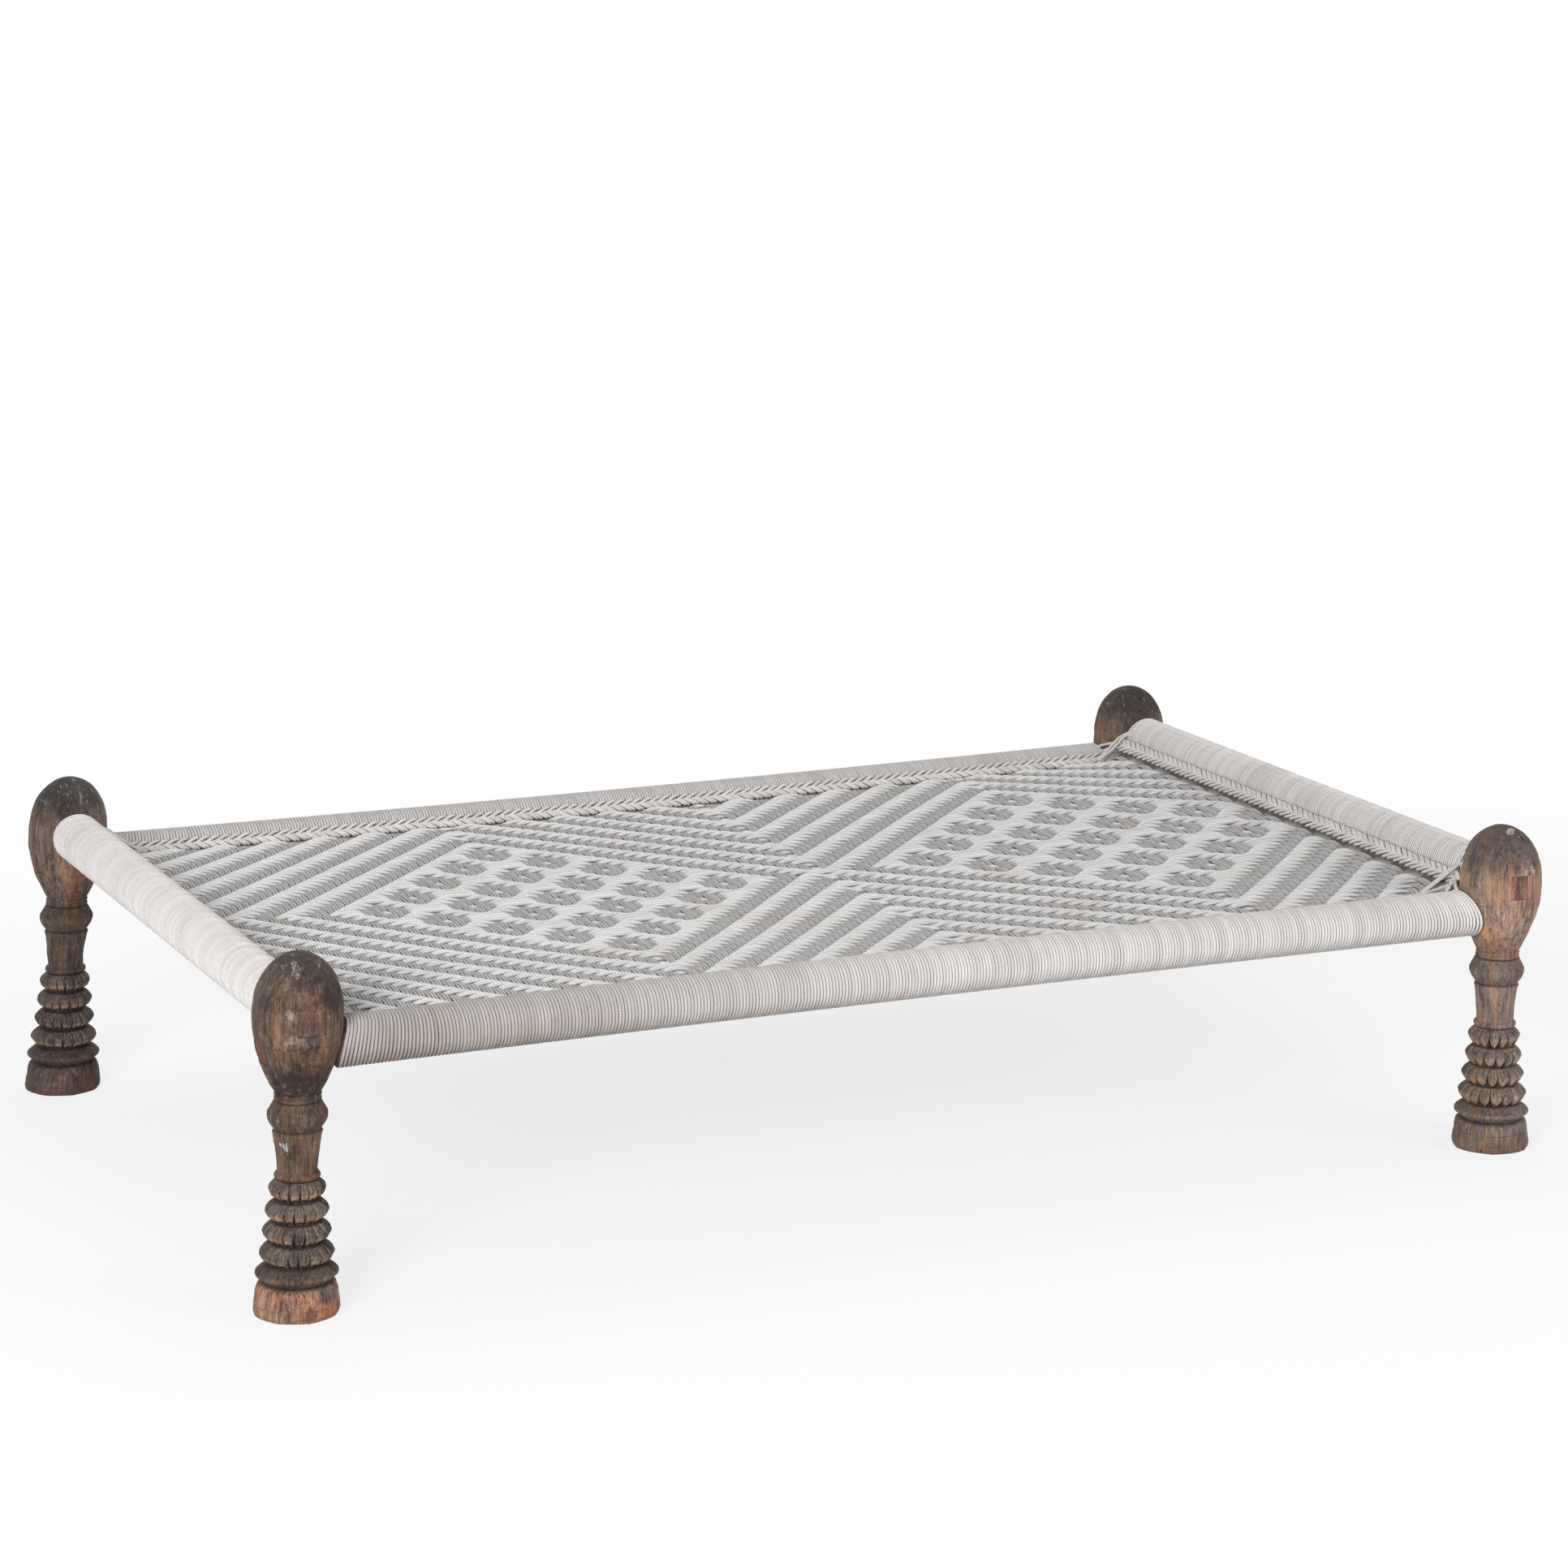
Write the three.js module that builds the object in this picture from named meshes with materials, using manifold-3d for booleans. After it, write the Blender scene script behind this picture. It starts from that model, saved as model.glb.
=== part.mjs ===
// A charpai: a low bed of four turned legs, four pole rails wound with cotton cord and a
// woven cord panel held inside braided edges. Millimetres, +Z up, +X along the bed.
// The origin is on the floor, under the middle of the bed's outer box.

import * as THREE from "three";
import { mergeVertices } from "three/addons/utils/BufferGeometryUtils.js";
import Module from "manifold-3d";

const wasm = await Module();
wasm.setup();

// Bed plan, between leg axes
const legSpacingLong = 1704;
const legSpacingWide = 1044;

// Room between pieces that touch, and how far a cut runs past what it cuts
const fitGap = 0.3;
const cutOverrun = 9;

// Leg: turned stages from the floor up
const footHeight = 40;
const footRadius = 55.8;
const bandHeight = 22;
const bandRadius = 51.6;
const lotusCount = 4;
const lotusLowRadius = 47;
const lotusTopRadius = 35.8;
const petalDepth = 4;
const collarHeight = 9;
const collarRadius = 29.4;
const cupHeight = 53;
const cupLowRadius = 25.4;
const cupTopRadius = 30.6;
const bulgeHeight = 36;
const bulgeRadius = 37.8;
const neckHeight = 10;
const neckRadius = 30.2;
const headRadius = 56.6;
const headDomeHeight = 80;

// How far the head's root lies under the side rails, and its widest place under the end rails
const neckDrop = 55;
const widestDrop = 4;

// How far each foot stands outwards of its leg's head
const footSplay = { frontLeft: 9, frontRight: 0.5, rearLeft: 19, rearRight: 0.5 };

// Poles, their cord and their tenons
const cordDiameter = 4.2;
const sideRailHeight = 332;
const sidePoleRadius = 27.5;
const frontRailBow = 10;
const rearRailBow = 20;
const endRailRise = 42;
const endPoleRadius = 30.1;
const sideTenonWidth = 36;
const sideTenonHeight = 28;
const endTenonWidth = 35;
const endTenonHeight = 32;
const tenonRecess = 1.2;
const tenonRoot = 60;

// End turns of the rail windings
const turnGap = 0.6;
const looseTurnGap = 1.4;
const legTurnGap = 0.8;

// Braided edge and woven panel
const braidWidth = 20;
const braidThickness = 9;
const panelThickness = 9;
const panelSag = 3;
const cornerCut = 20;
const lashingWidth = 15;
const lashingThickness = 8;

// Facets
const legSides = 24;
const poleSides = 12;
const cordSides = 6;
const stepsPerTurn = 24;
const bowStations = 8;
const panelRows = 8;

// Outline tables: share of the stage's height, share of its radius, share of the petal depth
const footShares = [[0, 0.94, 0], [0.08, 1, 0], [0.66, 1, 0.2], [1, 0.8, 0.35]];
const bandShares = [[0.1, 0.8, 0], [0.38, 0.98, 0], [0.66, 0.98, 0], [0.97, 0.74, 0]];
const lotusShares = [[0.05, 0.77, 0.1], [0.26, 0.95, 1], [0.52, 1, 0.7], [0.93, 0.78, 0.25]];
const collarShares = [[0.25, 1, 0], [0.75, 1, 0]];
const bulgeShares = [[0.08, 0.78, 0], [0.3, 0.93, 0], [0.55, 1, 0], [0.8, 0.92, 0]];
const neckShares = [[0.2, 1, 0], [0.55, 0.95, 0]];
const neckRootShare = 0.955;
const headRiseShares = [0.25, 0.5, 0.75, 1];
const headDomeShares = [0.35, 0.6, 0.8, 0.93];
const headRisePower = 0.9;
const headDomePower = 2.2;
const braidBevelShare = 0.28;
const lashingBevelShare = 0.3;
const poleEndShare = 0.35;

// Where the edge braid lies on its rail, and how steeply it falls to the panel
const sideBraidSeat = THREE.MathUtils.degToRad(35);
const sideBraidSlope = THREE.MathUtils.degToRad(36);
const endBraidSeat = THREE.MathUtils.degToRad(5);
const endBraidSlope = THREE.MathUtils.degToRad(56);

// Finishes
const wood = { pole: 0x5f4636, leg: 0x6d5442 };
const cotton = { rail: 0xd8d2cb, panel: 0xd3cec8, edge: 0xccc3ba };

// Heights that follow from the rails: the head holds both, and the lotus discs fill what is left
const cordRadius = cordDiameter / 2;
const endRailHeight = sideRailHeight + endRailRise;
const neckTop = sideRailHeight - neckDrop;
const headWidest = endRailHeight - widestDrop;
const headRiseHeight = headWidest - neckTop;
const legHeight = headWidest + headDomeHeight;
const stagesTotal = footHeight + bandHeight + collarHeight + cupHeight + bulgeHeight + neckHeight;
const lotusHeight = (neckTop - stagesTotal) / lotusCount;
const splayPivot = (sideRailHeight + endRailHeight) / 2;

// Flips a closed geometry whose faces point inwards.
function facingOut(geometry) {
  const at = geometry.getAttribute("position");
  const index = geometry.index.array;
  const [a, b, c] = [new THREE.Vector3(), new THREE.Vector3(), new THREE.Vector3()];
  let volume = 0;
  for (let i = 0; i < index.length; i += 3) {
    a.fromBufferAttribute(at, index[i]);
    b.fromBufferAttribute(at, index[i + 1]);
    c.fromBufferAttribute(at, index[i + 2]);
    volume += a.dot(b.cross(c));
  }
  if (volume < 0) {
    for (let i = 0; i < index.length; i += 3) {
      [index[i + 1], index[i + 2]] = [index[i + 2], index[i + 1]];
    }
  }
  return geometry;
}

// Joins rings of equally many points into a closed skin. A tip closes the last ring in a point.
function loft(rings, tip = null) {
  const count = rings[0].length;
  const points = rings.flat();
  const index = [];
  for (let ring = 0; ring < rings.length - 1; ring += 1) {
    for (let i = 0; i < count; i += 1) {
      const here = ring * count + i;
      const next = ring * count + ((i + 1) % count);
      index.push(here, next, next + count, here, next + count, here + count);
    }
  }
  const last = (rings.length - 1) * count;
  for (let i = 1; i < count - 1; i += 1) {
    index.push(0, i + 1, i);
    if (!tip) index.push(last, last + i, last + i + 1);
  }
  if (tip) {
    points.push(tip);
    for (let i = 0; i < count; i += 1) {
      index.push(last + i, last + ((i + 1) % count), points.length - 1);
    }
  }
  return facingOut(new THREE.BufferGeometry().setFromPoints(points).setIndex(index));
}

// A closed skin that runs round and back through its own bore, such as a sleeve.
function loftRound(rings) {
  const count = rings[0].length;
  const index = [];
  rings.forEach((_, ring) => {
    const after = (ring + 1) % rings.length;
    for (let i = 0; i < count; i += 1) {
      const j = (i + 1) % count;
      const [a, b, c, d] = [ring * count + i, ring * count + j, after * count + i, after * count + j];
      index.push(a, b, d, a, d, c);
    }
  });
  return facingOut(new THREE.BufferGeometry().setFromPoints(rings.flat()).setIndex(index));
}

function toSolid(geometry) {
  const bare = geometry.clone();
  bare.deleteAttribute("normal");
  bare.deleteAttribute("uv");
  const merged = mergeVertices(bare);
  const vertProperties = new Float32Array(merged.getAttribute("position").array);
  const triVerts = new Uint32Array(merged.index.array);
  return new wasm.Manifold(new wasm.Mesh({ numProp: 3, vertProperties, triVerts }));
}

function toGeometry(solid) {
  const mesh = solid.getMesh();
  const geometry = new THREE.BufferGeometry();
  geometry.setAttribute("position", new THREE.BufferAttribute(mesh.vertProperties, 3));
  geometry.setIndex(new THREE.BufferAttribute(mesh.triVerts, 1));
  return geometry;
}

function makeMesh(name, geometry, color, roughness) {
  geometry.computeVertexNormals();
  const material = new THREE.MeshStandardMaterial({ color, roughness, metalness: 0, flatShading: true });
  const mesh = new THREE.Mesh(geometry, material);
  mesh.name = name;
  return mesh;
}

// Leg outline as height, radius and petal depth, from the floor to just under the tip
function legOutline() {
  const outline = [];
  let floor = 0;
  const stage = (shares, height, radius) => {
    shares.forEach(([up, out, carve]) => {
      outline.push([floor + up * height, out * radius, carve * petalDepth]);
    });
    floor += height;
  };
  stage(footShares, footHeight, footRadius);
  stage(bandShares, bandHeight, bandRadius);
  for (let i = 0; i < lotusCount; i += 1) {
    const share = i / (lotusCount - 1);
    stage(lotusShares, lotusHeight, THREE.MathUtils.lerp(lotusLowRadius, lotusTopRadius, share));
  }
  stage(collarShares, collarHeight, collarRadius);
  outline.push([floor, cupLowRadius, 0]);
  floor += cupHeight;
  outline.push([floor, cupTopRadius, 0]);
  stage(bulgeShares, bulgeHeight, bulgeRadius);
  stage(neckShares, neckHeight, neckRadius);
  outline.push([neckTop, headRadiusAt(neckTop), 0]);
  headRiseShares.forEach((share) => {
    const height = neckTop + share * headRiseHeight;
    outline.push([height, headRadiusAt(height), 0]);
  });
  headDomeShares.forEach((share) => {
    const height = headWidest + share * headDomeHeight;
    outline.push([height, headRadiusAt(height), 0]);
  });
  return outline;
}

// Radius of the egg-shaped head at a height
function headRadiusAt(height) {
  const root = neckRadius * neckRootShare;
  if (height <= headWidest) {
    const share = Math.max(0, (height - neckTop) / headRiseHeight);
    return root + (headRadius - root) * Math.sin((Math.PI / 2) * share ** headRisePower);
  }
  const share = Math.min(1, (height - headWidest) / headDomeHeight);
  return headRadius * Math.sqrt(1 - share ** headDomePower);
}

// Turned body about a leg's axis, with its foot set outwards and the head grown by a clearance
function legBody(place, splay, outline, grow) {
  const offset = (height) => splay * (1 - height / splayPivot);
  const rings = outline.map(([height, radius, carve]) =>
    Array.from({ length: legSides }, (_, i) => {
      const angle = (i / legSides) * 2 * Math.PI;
      const reach = radius + grow - (i % 2) * carve;
      const x = place.x + offset(height) + reach * Math.cos(angle);
      return new THREE.Vector3(x, place.y + reach * Math.sin(angle), height);
    }),
  );
  const tip = new THREE.Vector3(place.x + offset(legHeight), place.y, legHeight + grow);
  return loft(rings, tip);
}

// The four legs: where each stands, which way is outwards, and how far its foot is set out
const legs = {};
for (const [row, ySign] of [["front", -1], ["rear", 1]]) {
  for (const [column, xSign] of [["left", -1], ["right", 1]]) {
    const splay = footSplay[row + column.charAt(0).toUpperCase() + column.slice(1)];
    legs[`${row}_${column}`] = {
      x: (xSign * legSpacingLong) / 2,
      y: (ySign * legSpacingWide) / 2,
      xSign,
      ySign,
      splay: xSign * splay,
    };
  }
}

// The head alone, grown by a clearance, to cut what is scribed to it
function grownHead(place) {
  const outline = legOutline().filter(([height]) => height >= neckTop);
  return toSolid(legBody(place, place.splay, outline, fitGap));
}

// A rail's own frame: along it, inwards to the bed's middle, and up from its axis
function makeRail({ name, alongX, sign, height, poleRadius, bow, ends, braid, tenon }) {
  const halfSpan = (alongX ? legSpacingLong : legSpacingWide) / 2;
  const offset = (alongX ? legSpacingWide : legSpacingLong) / 2;
  const station = halfSpan / (bowStations / 2);
  const bowCurve = (along) => bow * (1 - (along / halfSpan) ** 2);
  const bowAt = (along) => {
    const low = Math.floor(along / station) * station;
    return THREE.MathUtils.lerp(bowCurve(low), bowCurve(low + station), (along - low) / station);
  };
  const place = (along, inward, up) => {
    const across = sign * (offset - inward - bowAt(along));
    return alongX
      ? new THREE.Vector3(along, across, height + up)
      : new THREE.Vector3(across, along, height + up);
  };
  const stations = (reach) => {
    const list = [-reach];
    for (let i = -bowStations; i <= bowStations; i += 1) {
      if (bow && Math.abs(i * station) < reach) list.push(i * station);
    }
    return [...list, reach];
  };
  return { name, alongX, height, poleRadius, ends, braid, tenon, halfSpan, place, stations };
}

const sideTenon = { width: sideTenonWidth, height: sideTenonHeight };
const endTenon = { width: endTenonWidth, height: endTenonHeight };
const sideBraid = { seat: sideBraidSeat, slope: sideBraidSlope };
const endBraid = { seat: endBraidSeat, slope: endBraidSlope };

// Each end of a rail: the leg it enters and how its end turns are laid
const rails = [
  makeRail({
    name: "side_rail_front",
    alongX: true,
    sign: -1,
    height: sideRailHeight,
    poleRadius: sidePoleRadius,
    bow: frontRailBow,
    ends: [
      { side: "left", leg: legs.front_left, turns: 4, gap: looseTurnGap },
      { side: "right", leg: legs.front_right, turns: 2, gap: turnGap },
    ],
    braid: sideBraid,
    tenon: sideTenon,
  }),
  makeRail({
    name: "side_rail_rear",
    alongX: true,
    sign: 1,
    height: sideRailHeight,
    poleRadius: sidePoleRadius,
    bow: rearRailBow,
    ends: [
      { side: "left", leg: legs.rear_left, turns: 2, gap: turnGap },
      { side: "right", leg: legs.rear_right, turns: 2, gap: turnGap },
    ],
    braid: sideBraid,
    tenon: sideTenon,
  }),
  makeRail({
    name: "end_rail_left",
    alongX: false,
    sign: -1,
    height: endRailHeight,
    poleRadius: endPoleRadius,
    bow: 0,
    ends: [
      { side: "front", leg: legs.front_left, turns: 2, gap: turnGap },
      { side: "rear", leg: legs.rear_left, turns: 2, gap: turnGap },
    ],
    braid: endBraid,
    tenon: endTenon,
  }),
  makeRail({
    name: "end_rail_right",
    alongX: false,
    sign: 1,
    height: endRailHeight,
    poleRadius: endPoleRadius,
    bow: 0,
    ends: [
      { side: "front", leg: legs.front_right, turns: 2, gap: turnGap },
      { side: "rear", leg: legs.rear_right, turns: 2, gap: turnGap },
    ],
    braid: endBraid,
    tenon: endTenon,
  }),
];

// One ring of points round a rail's axis
function railRing(rail, along, radius) {
  return Array.from({ length: poleSides }, (_, i) => {
    const angle = (i / poleSides) * 2 * Math.PI;
    return rail.place(along, radius * Math.cos(angle), radius * Math.sin(angle));
  });
}

// A rectangular stick along a rail's axis, for a tenon or the mortise round it
function railStick(rail, from, to, width, height) {
  const corners = [[-1, -1], [1, -1], [1, 1], [-1, 1]];
  const ring = (along) =>
    corners.map(([side, up]) => {
      const point = rail.place(Math.sign(along) * rail.halfSpan, (side * width) / 2, (up * height) / 2);
      if (rail.alongX) point.x = along;
      else point.y = along;
      return point;
    });
  return toSolid(loft([ring(from), ring(to)]));
}

// How far past the leg's axis a tenon reaches before its end corners would leave the head
function tenonReach(rail) {
  const low = headRadiusAt(rail.height - rail.tenon.height / 2);
  const high = headRadiusAt(rail.height + rail.tenon.height / 2);
  const radius = Math.min(low, high);
  return Math.sqrt(radius ** 2 - (rail.tenon.width / 2) ** 2) - tenonRecess;
}

// The pole: round, scribed to both heads, with a tenon through each leg
function makePole(rail) {
  const end = rail.halfSpan - headRadius * poleEndShare;
  let solid = toSolid(loft(rail.stations(end).map((along) => railRing(rail, along, rail.poleRadius))));
  rail.ends.forEach(({ leg }, i) => {
    const out = i ? 1 : -1;
    const { width, height } = rail.tenon;
    solid = solid.subtract(grownHead(leg));
    const root = out * (rail.halfSpan - headRadius - tenonRoot);
    const tip = out * (rail.halfSpan + tenonReach(rail));
    solid = solid.add(railStick(rail, root, tip, width, height));
  });
  return toGeometry(solid);
}

// A leg with its two mortises, one above the other
function makeLeg(name, place) {
  let solid = toSolid(legBody(place, place.splay, legOutline(), 0));
  rails.forEach((rail) => {
    rail.ends.forEach(({ leg }, i) => {
      if (leg !== place) return;
      const out = i ? 1 : -1;
      const width = rail.tenon.width + 2 * fitGap;
      const height = rail.tenon.height + 2 * fitGap;
      const reach = headRadius + cutOverrun;
      const from = out * (rail.halfSpan - reach);
      const to = out * (rail.halfSpan + reach);
      solid = solid.subtract(railStick(rail, from, to, width, height));
    });
  });
  return makeMesh(`leg_${name}`, toGeometry(solid), wood.leg, 0.85);
}

// Distance from the leg's axis at which a turn of cord clears the head, at an angle round the rail
function turnClearance(rail, radius, angle) {
  const reach = headRadiusAt(rail.height + radius * Math.sin(angle)) + legTurnGap + cordRadius;
  return Math.sqrt(reach ** 2 - (radius * Math.cos(angle)) ** 2);
}

// Where the end turns stop and the close winding begins, from the leg's axis
function turnsReach(rail, { turns, gap }) {
  const radius = windingRadius(rail);
  const angles = Array.from({ length: stepsPerTurn }, (_, i) => (i / stepsPerTurn) * 2 * Math.PI);
  const furthest = Math.max(...angles.map((angle) => turnClearance(rail, radius, angle)));
  return furthest + turns * (cordDiameter + gap);
}

function windingRadius(rail) {
  return rail.poleRadius + fitGap + cordRadius;
}

// Centre line of the end turns: the first lies against the head, the last square to the rail
function turnsPath(rail, end, out, perTurn) {
  const radius = windingRadius(rail);
  const last = turnsReach(rail, end);
  const steps = end.turns * perTurn;
  const points = Array.from({ length: steps + 1 }, (_, i) => {
    const angle = Math.PI + (i / perTurn) * 2 * Math.PI;
    const fromLeg = THREE.MathUtils.lerp(turnClearance(rail, radius, angle), last, i / steps);
    const along = out * (rail.halfSpan - fromLeg);
    return rail.place(along, radius * Math.cos(angle), radius * Math.sin(angle));
  });
  return points;
}

// The least room between one turn and the next, on points of the centre line
function leastGap(points, perTurn) {
  let least = Infinity;
  for (let i = 0; i < points.length; i += 1) {
    for (let j = i + perTurn / 2; j < points.length; j += 1) {
      least = Math.min(least, points[i].distanceTo(points[j]) - cordDiameter);
    }
  }
  return least;
}

// Adds a straight lead, one cord diameter long, to both ends of a path
function withLeads(points) {
  const lead = (tip, before) => tip.clone().add(tip.clone().sub(before).setLength(cordDiameter));
  const head = lead(points[0], points[1]);
  const tail = lead(points[points.length - 1], points[points.length - 2]);
  return [head, ...points, tail];
}

// The end turns of a winding as one unbroken cord
function makeTurns(rail, end, out) {
  const path = withLeads(turnsPath(rail, end, out, stepsPerTurn));
  const axis = rail.alongX ? new THREE.Vector3(1, 0, 0) : new THREE.Vector3(0, 1, 0);
  const rings = path.map((point, i) => {
    const before = path[Math.max(0, i - 1)];
    const after = path[Math.min(path.length - 1, i + 1)];
    const tangent = after.clone().sub(before).normalize();
    const across = new THREE.Vector3().crossVectors(tangent, axis).normalize();
    const sideways = new THREE.Vector3().crossVectors(across, tangent);
    return Array.from({ length: cordSides }, (_, k) => {
      const angle = (k / cordSides) * 2 * Math.PI;
      return point
        .clone()
        .addScaledVector(across, cordRadius * Math.cos(angle))
        .addScaledVector(sideways, cordRadius * Math.sin(angle));
    });
  });
  const name = `${rail.name}_turns_${end.side}`;
  const fine = stepsPerTurn * 4;
  const gap = leastGap(turnsPath(rail, end, out, fine), fine);
  console.log(`${name}: ${end.turns} turns, least gap ${gap.toFixed(2)} mm`);
  return makeMesh(name, loft(rings), cotton.rail, 0.95);
}

// The close winding between the end turns, as one sleeve on the pole
function makeSleeve(rail) {
  const [low, high] = rail.ends.map((end) => rail.halfSpan - turnsReach(rail, end) - cordRadius - fitGap);
  const stations = rail.stations(Math.max(low, high)).filter((along) => along > -low && along < high);
  const run = [-low, ...stations, high];
  const inner = rail.poleRadius + fitGap;
  const outer = rail.poleRadius + cordDiameter;
  const rings = [
    ...run.map((along) => railRing(rail, along, outer)),
    ...run.reverse().map((along) => railRing(rail, along, inner)),
  ];
  return makeMesh(`${rail.name}_winding`, loftRound(rings), cotton.rail, 0.95);
}

// Section of the edge braid as inward and up from the rail's axis. Its front face is upright.
function braidSection({ poleRadius, braid }) {
  const { seat, slope } = braid;
  const half = braidThickness / 2;
  const bevel = braidThickness * braidBevelShare;
  const seatRadius = poleRadius + cordDiameter + fitGap + half;
  const back = new THREE.Vector2(Math.cos(seat), Math.sin(seat)).multiplyScalar(seatRadius);
  const run = new THREE.Vector2(Math.cos(slope), -Math.sin(slope));
  const rise = new THREE.Vector2(Math.sin(slope), Math.cos(slope));
  const at = (along, up) => back.clone().addScaledVector(run, along).addScaledVector(rise, up);
  const frontTop = at(braidWidth, half);
  const frontBottom = at((frontTop.x - at(0, -half).x) / run.x, -half);
  return [at(0, bevel - half), at(bevel, -half), frontBottom, frontTop, at(bevel, half), at(0, half - bevel)];
}

// Where a rail's braid ends inwards, and the middle height of its front face
function braidFront(rail) {
  const section = braidSection(rail);
  const [bottom, top] = [section[2], section[3]];
  return { inward: top.x, up: (top.y + bottom.y) / 2 };
}

const sideFront = braidFront(rails[0]);
const endFront = braidFront(rails[2]);
const panelHalfLong = legSpacingLong / 2 - endFront.inward - fitGap;
const panelHalfWide = legSpacingWide / 2 - sideFront.inward - fitGap;
const sideEdgeHeight = sideRailHeight + sideFront.up;
const endEdgeHeight = endRailHeight + endFront.up;

// The braided edge along a rail, ended short of the corner for the lashing
function makeBraid(rail) {
  const reach = (rail.alongX ? panelHalfLong : panelHalfWide) - cornerCut;
  const section = braidSection(rail);
  const rings = rail.stations(reach).map((along) => section.map(({ x, y }) => rail.place(along, x, y)));
  return makeMesh(`${rail.name}_edge_braid`, loft(rings), cotton.edge, 0.95);
}

// Middle height of the panel at shares of its half sizes: high at the end rails, low at the side rails
function panelHeightAt(longShare, wideShare) {
  const fromEnds = panelHalfLong * (1 - longShare ** 2);
  const fromSides = panelHalfWide * (1 - wideShare ** 2);
  const total = fromEnds + fromSides;
  const share = total > 0 ? fromSides / total : 1 / 2;
  const sag = panelSag * (1 - longShare ** 2) * (1 - wideShare ** 2);
  return THREE.MathUtils.lerp(sideEdgeHeight, endEdgeHeight, share) - sag;
}

// The woven panel: a saddle-shaped mat with its corners cut off
function makePanel() {
  const [front, rear] = rails;
  const station = legSpacingLong / bowStations / 2;
  const inside = Math.floor(panelHalfLong / station);
  const columns = [-panelHalfLong];
  for (let i = -inside; i <= inside; i += 1) columns.push(i * station);
  columns.push(panelHalfLong);
  const edge = (rail, x) => rail.place(x, sideFront.inward + fitGap, 0).y;
  const surface = (x, row, up) => {
    const wideShare = (2 * row) / panelRows - 1;
    const y = THREE.MathUtils.lerp(edge(front, x), edge(rear, x), row / panelRows);
    const height = panelHeightAt(x / panelHalfLong, wideShare);
    return new THREE.Vector3(x, y, height + (up * panelThickness) / 2);
  };
  const rings = columns.map((x) => {
    const top = Array.from({ length: panelRows + 1 }, (_, row) => surface(x, row, 1));
    const bottom = Array.from({ length: panelRows + 1 }, (_, row) => surface(x, panelRows - row, -1));
    return [...top, ...bottom];
  });
  let solid = toSolid(loftStrip(rings));
  Object.values(legs).forEach((leg) => {
    solid = solid.subtract(cornerPrism(leg));
  });
  return makeMesh("woven_panel", toGeometry(solid), cotton.panel, 0.95);
}

// Like loft, but its end caps are ladders of quads, for a thin section with two long faces
function loftStrip(rings) {
  const count = rings[0].length;
  const geometry = loft(rings);
  const sides = geometry.index.count - 2 * 3 * (count - 2);
  const flipped = geometry.index.array[1] !== 1;
  const index = Array.from(geometry.index.array.slice(0, sides));
  const cap = (base, turned) => {
    for (let i = 0; i < count / 2 - 1; i += 1) {
      const [a, b, c, d] = [i, i + 1, count - 2 - i, count - 1 - i].map((k) => base + k);
      const faces = turned ? [a, c, b, a, d, c] : [a, b, c, a, c, d];
      index.push(...faces);
    }
  };
  cap(0, !flipped);
  cap((rings.length - 1) * count, flipped);
  return facingOut(geometry.setIndex(index));
}

// Upright three-sided body that cuts a corner of the panel off for its lashing
function cornerPrism(leg) {
  const past = cornerCut + cutOverrun;
  const corner = (long, wide, height) =>
    new THREE.Vector3(leg.xSign * (panelHalfLong + long), leg.ySign * (panelHalfWide + wide), height);
  const ring = (height) => [
    corner(-past, cutOverrun, height),
    corner(cutOverrun, -past, height),
    corner(past, past, height),
  ];
  return toSolid(loft([ring(sideEdgeHeight - panelThickness), ring(endEdgeHeight + panelThickness)]));
}

// A flat bundle of cords from the panel's cut corner to the leg's head, scribed to the head
function makeLashing(name, leg) {
  const middle = new THREE.Vector2(
    leg.xSign * (panelHalfLong - cornerCut / 2),
    leg.ySign * (panelHalfWide - cornerCut / 2),
  );
  const out = new THREE.Vector2(leg.xSign, leg.ySign).normalize();
  const side = new THREE.Vector2(-out.y, out.x);
  const height = (sideEdgeHeight + endEdgeHeight) / 2;
  const half = { wide: lashingWidth / 2, thick: lashingThickness / 2 };
  const bevel = lashingThickness * lashingBevelShare;
  const section = [
    [half.wide - bevel, -half.thick],
    [half.wide, bevel - half.thick],
    [half.wide, half.thick - bevel],
    [half.wide - bevel, half.thick],
    [bevel - half.wide, half.thick],
    [-half.wide, half.thick - bevel],
    [-half.wide, bevel - half.thick],
    [bevel - half.wide, -half.thick],
  ];
  const ring = (reach) =>
    section.map(([across, up]) => {
      const at = middle.clone().addScaledVector(out, reach).addScaledVector(side, across);
      return new THREE.Vector3(at.x, at.y, height + up);
    });
  const toLeg = middle.distanceTo(new THREE.Vector2(leg.x, leg.y));
  const bar = toSolid(loft([ring(fitGap), ring(toLeg - headRadius * poleEndShare)]));
  return makeMesh(`corner_lashing_${name}`, toGeometry(bar.subtract(grownHead(leg))), cotton.edge, 0.95);
}

const charpai = new THREE.Group();
Object.entries(legs).forEach(([name, place]) => {
  charpai.add(makeLeg(name, place));
  charpai.add(makeLashing(name, place));
});
rails.forEach((rail) => {
  charpai.add(makeMesh(rail.name, makePole(rail), wood.pole, 0.9));
  charpai.add(makeSleeve(rail));
  charpai.add(makeBraid(rail));
  rail.ends.forEach((end, i) => charpai.add(makeTurns(rail, end, i ? 1 : -1)));
});
charpai.add(makePanel());

// The feet that are set outwards widen the box to one side, so the bed is moved back to its middle
const reaches = Object.values(legs).map(({ xSign, splay }) => ({
  xSign,
  reach: Math.max(headRadius, footRadius + Math.abs(splay)),
}));
const reachTo = (wanted) => Math.max(...reaches.filter(({ xSign }) => xSign === wanted).map(({ reach }) => reach));
charpai.position.x = (reachTo(-1) - reachTo(1)) / 2;

export default charpai;
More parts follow.
